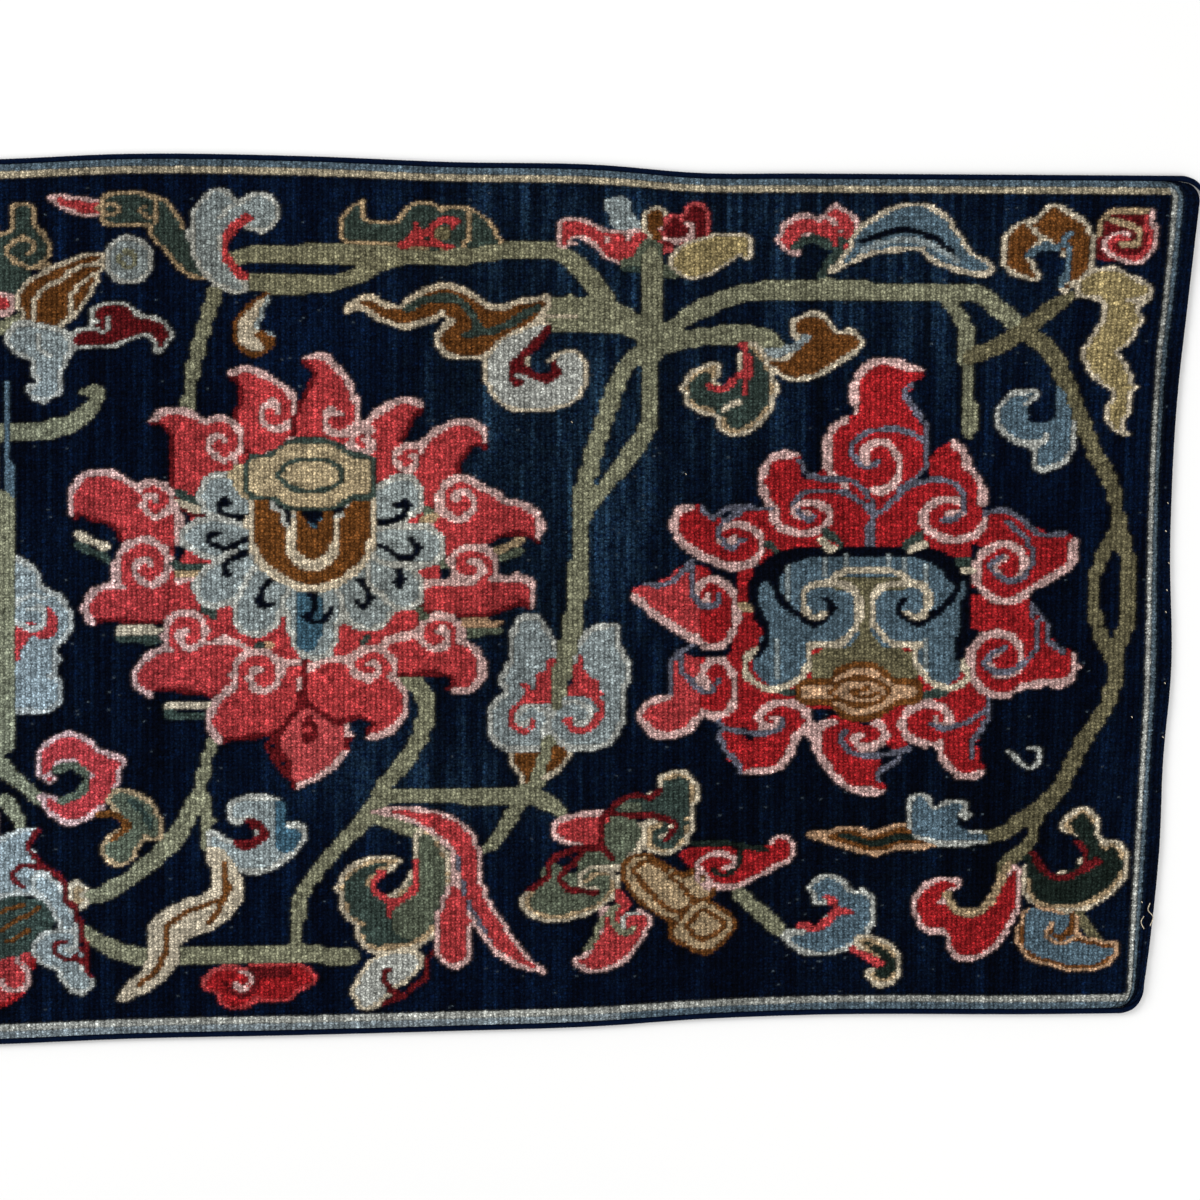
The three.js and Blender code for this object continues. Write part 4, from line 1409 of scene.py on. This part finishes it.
def side_cord(column, material):
    """A selvedge: edge warps overcast with wool, in close slanting turns that end round the corners."""
    path = cord_path(column)
    length = np.concatenate([[0], np.cumsum(np.linalg.norm(np.diff(path, axis=0), axis=1))])
    to_tip = np.minimum(length, length[-1] - length)
    thick = CORD_TIP + (1 - CORD_TIP) * ease(to_tip / CORD_TAPER)
    angle = ring_angles(CORD_SIDES)
    turns = length[:, None] / TURN_PITCH + angle / (2 * math.pi)
    rise = np.abs(np.sin(math.pi * turns)) ** TURN_FULLNESS
    size = (1 - TURN_DIP * (1 - rise)) * thick[:, None]
    across = squared(np.cos(angle)) * CORD_WIDTH / 2 * size
    up = squared(np.sin(angle)) * CORD_HEIGHT / 2 * size
    points = tube(path, across, up, CORD_HEIGHT / 2)
    faces = tube_faces(len(path), CORD_SIDES)
    map_places = np.concatenate([folded_map(len(path) - 1, CORD_SIDES, **CORD_MAP),
                                 *[spare_map(CORD_SIDES, **CORD_SPOT)] * 2])
    navy = linear(DYES["navy"])
    # Painted shade where a turn dips beside the next, and painted light on its top
    tone = (TURN_SHADE["dip"] + TURN_SHADE["top"] * rise).ravel()
    sides = np.array(faces[:-2]).ravel()
    colours = np.concatenate([tone[sides, None] * navy, np.tile(navy, (2 * CORD_SIDES, 1))])
    vertices = points.reshape(-1, 3) / METRE
    return new_piece(f"overcast_{column}", vertices.tolist(), faces, material, map_places, colours)


# Specks of lint and longer loose threads on the pile, at their places on the chart
LINT = (
    (1168, 503), (1166, 531), (1169, 563), (1167, 590), (1166, 612), (1165, 683), (1163, 737), (1142, 902),
    (572, 422), (686, 474), (1105, 693), (1132, 717),
)
LINT_SHAPE = ((-0.8, -0.6), (0, 0), (0.3, 0.9))
LONG_THREADS = (
    ((1150, 903), (1148, 910), (1153, 917), (1150, 926)),
    ((1144, 916), (1141, 922), (1144, 929)),
)

# A thread's radius in millimetres, how finely it is modelled, and the spot of the texture map for its ends
THREAD_RADIUS = 0.45
THREAD_STEPS = 4
THREAD_SIDES = 6
THREAD_SPOT = {"middle": 0.5, "radius": 0.1, "step": 1}


def loose_threads(material):
    """Short ends of pale wool that lie on the pile."""
    routes = [[(x + dx, y + dy) for dx, dy in LINT_SHAPE] for x, y in LINT] + list(LONG_THREADS)
    angle = ring_angles(THREAD_SIDES)
    points, faces, map_places = [], [], []
    for route in routes:
        chart_path = smooth([(x, y, THREAD_RADIUS) for x, y in route], steps=THREAD_STEPS)[:, :2]
        path = (chart_path - CHART_MIDDLE) * (1, -1)
        around = np.tile(angle, (len(path), 1))
        rings = tube(path, THREAD_RADIUS * np.cos(around), THREAD_RADIUS * np.sin(around),
                     CARPET_THICKNESS + PILE_RISE)
        faces += tube_faces(len(path), THREAD_SIDES, first=sum(len(part) for part in points))
        points.append(rings.reshape(-1, 3))
        map_places += [folded_map(len(path) - 1, THREAD_SIDES, folds=1, margin=0, gap=0),
                       *[spare_map(THREAD_SIDES, **THREAD_SPOT)] * 2]
    vertices = np.concatenate(points) / METRE
    map_places = np.concatenate(map_places)
    colours = np.tile(linear(DYES["cream"]), (len(map_places), 1))
    return new_piece("loose_threads", vertices.tolist(), faces, material, map_places, colours)


def new_material(name):
    """A material and its Principled shader."""
    material = bpy.data.materials.new(name)
    material.use_nodes = True
    return material, material.node_tree.nodes["Principled BSDF"]


def set_inputs(node, inputs):
    """Sets a node's inputs by name or number: an output is linked, and anything else is its value."""
    for key, value in inputs.items():
        if isinstance(value, bpy.types.NodeSocket):
            node.id_data.links.new(value, node.inputs[key])
        else:
            node.inputs[key].default_value = value


def add_node(material, kind, output, inputs, **settings):
    """Adds a node, and gives the output of that name."""
    node = material.node_tree.nodes.new("ShaderNode" + kind)
    for key, value in settings.items():
        setattr(node, key, value)
    set_inputs(node, inputs)
    return node.outputs[output]


# How far wool's tufts are bent for their size, how wide the gaps between them are, where shade is painted,
# how light the painted light on their tops is, and the tones and the relief of its fibres
TUFT_BEND = 0.8
TUFT_GAP = 0.32
TUFT_TOP_LIGHT = 1.4
FIBRE_TONES = {"From Min": 0.3, "From Max": 0.7, "To Min": 0.7, "To Max": 1.35}
FIBRE_RELIEF = 0.35


def wool(name, tuft_size, tuft_depth, tuft_gap_shade, fibre_size, bump, sheen):
    """Dyed wool: the mesh's dye, with painted shade between tufts and painted light on their tops, and fine
    fibres. Its sizes are in metres.
    """
    material, shader = new_material(name)
    dye = add_node(material, "Attribute", "Color", {}, attribute_name="dye", attribute_type="GEOMETRY")
    place = add_node(material, "TexCoord", "Object", {})
    wobble = add_node(material, "TexNoise", "Color",
                      {"Vector": place, "Scale": TUFT_BEND / tuft_size, "Detail": 2.0})
    bent = add_node(material, "MixRGB", "Color",
                    {"Fac": tuft_size * TUFT_BEND, "Color1": place, "Color2": wobble}, blend_type="ADD")
    tufts = add_node(material, "TexVoronoi", "Distance", {"Vector": bent, "Scale": 1 / tuft_size},
                     feature="DISTANCE_TO_EDGE")
    gap = add_node(material, "MapRange", "Result",
                   {"Value": tufts, "From Min": 0.0, "From Max": TUFT_GAP, "To Min": 0.0, "To Max": 1.0},
                   interpolation_type="SMOOTHSTEP")
    fibres = add_node(material, "TexNoise", "Fac",
                      {"Vector": place, "Scale": 1 / fibre_size, "Detail": 3.0, "Roughness": 0.6})
    shade = add_node(material, "MapRange", "Result", {"Value": gap, "To Min": tuft_gap_shade, "To Max": TUFT_TOP_LIGHT})
    grain = add_node(material, "MapRange", "Result", {"Value": fibres, **FIBRE_TONES})
    tone = add_node(material, "Math", "Value", {0: shade, 1: grain}, operation="MULTIPLY")
    colour = add_node(material, "MixRGB", "Color", {"Fac": 1.0, "Color1": dye, "Color2": tone},
                      blend_type="MULTIPLY")
    height = add_node(material, "Math", "Value", {0: fibres, 1: FIBRE_RELIEF, 2: gap},
                      operation="MULTIPLY_ADD")
    relief = add_node(material, "Bump", "Normal",
                      {"Strength": bump, "Distance": tuft_depth, "Height": height})
    set_inputs(shader, {"Base Color": colour, "Normal": relief, "Roughness": 0.9, "Specular IOR Level": 0.04,
                        "Sheen Weight": sheen, "Sheen Roughness": 0.5})
    return material


def pale_floor():
    """A plain pale floor under the rug."""
    material, shader = new_material("floor_paper")
    set_inputs(shader, {"Base Color": (0.93, 0.93, 0.925, 1), "Roughness": 0.95, "Specular IOR Level": 0.1})
    bpy.ops.mesh.primitive_plane_add(size=12)
    floor = bpy.context.active_object
    floor.name = "floor"
    floor.data.materials.append(material)
    return floor


# The photograph looks straight down. Its middle is at this place along the rug, and it shows this width.
VIEW_X = (600 - CHART_MIDDLE[0]) / METRE
VIEW_WIDTH = 1.2
CAMERA_HEIGHT = 3.5
SENSOR = 36


def camera():
    """The camera of the photograph."""
    data = bpy.data.cameras.new("camera")
    data.sensor_width = SENSOR
    data.lens = SENSOR * (CAMERA_HEIGHT - CARPET_THICKNESS / METRE) / VIEW_WIDTH
    data.clip_end = 100
    view = bpy.data.objects.new("camera", data)
    view.location = (VIEW_X, 0, CAMERA_HEIGHT)
    bpy.context.scene.collection.objects.link(view)
    bpy.context.scene.camera = view


# Two large soft lights, and the white sky's strength
LIGHTS = (
    {"name": "left", "place": (-2.6, 1.6, 3.0), "power": 105, "size": 2.2},
    {"name": "right", "place": (3.2, -1.2, 3.0), "power": 72, "size": 2.6},
)
SKY = 0.53


def lights():
    """Plain soft studio light."""
    for row in LIGHTS:
        data = bpy.data.lights.new("light_" + row["name"], "AREA")
        data.energy = row["power"]
        data.size = row["size"]
        lamp = bpy.data.objects.new("light_" + row["name"], data)
        lamp.location = row["place"]
        aim = Vector((VIEW_X, 0, 0)) - lamp.location
        lamp.rotation_euler = aim.to_track_quat("-Z", "Y").to_euler()
        bpy.context.scene.collection.objects.link(lamp)
    world = bpy.data.worlds.new("studio")
    world.use_nodes = True
    set_inputs(world.node_tree.nodes["Background"], {"Color": (1, 1, 1, 1), "Strength": SKY})
    bpy.context.scene.world = world
    bpy.context.scene.view_settings.view_transform = "Standard"


# The wools: the size and depth of their tufts and the size of their fibres in metres, and the rest as shares
WOOLS = {
    "pile_wool": {"tuft_size": 0.0031, "tuft_depth": 0.0016, "tuft_gap_shade": 0.56, "fibre_size": 0.0009,
                  "bump": 0.7, "sheen": 0},
    "back_wool": {"tuft_size": 0.0036, "tuft_depth": 0.0006, "tuft_gap_shade": 0.55, "fibre_size": 0.0009,
                  "bump": 0.6, "sheen": 0},
    "cord_wool": {"tuft_size": 0.0022, "tuft_depth": 0.0004, "tuft_gap_shade": 0.7, "fibre_size": 0.0006,
                  "bump": 0.4, "sheen": 0.02},
}

camera()
lights()
floor = pale_floor()
chart = woven_dyes()
fine = tuft_dyes(chart.dye)
colour = tuft_colours(chart, fine)
wools = {name: wool(name, **row) for name, row in WOOLS.items()}
ground = ground_weave(chart.dye, wools["back_wool"])
strips = pile_strips(fine, colour, wools["pile_wool"])
cords = [side_cord("far", wools["cord_wool"]), side_cord("near", wools["cord_wool"])]
threads = loose_threads(wools["cord_wool"])

for piece in (ground, *strips):
    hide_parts("carpet")
for piece, column in zip(cords, ("far", "near")):
    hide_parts("side_cord_" + column)
for piece in (ground, *strips, *cords, threads):
    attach(piece, "root")

bpy.context.view_layer.update()
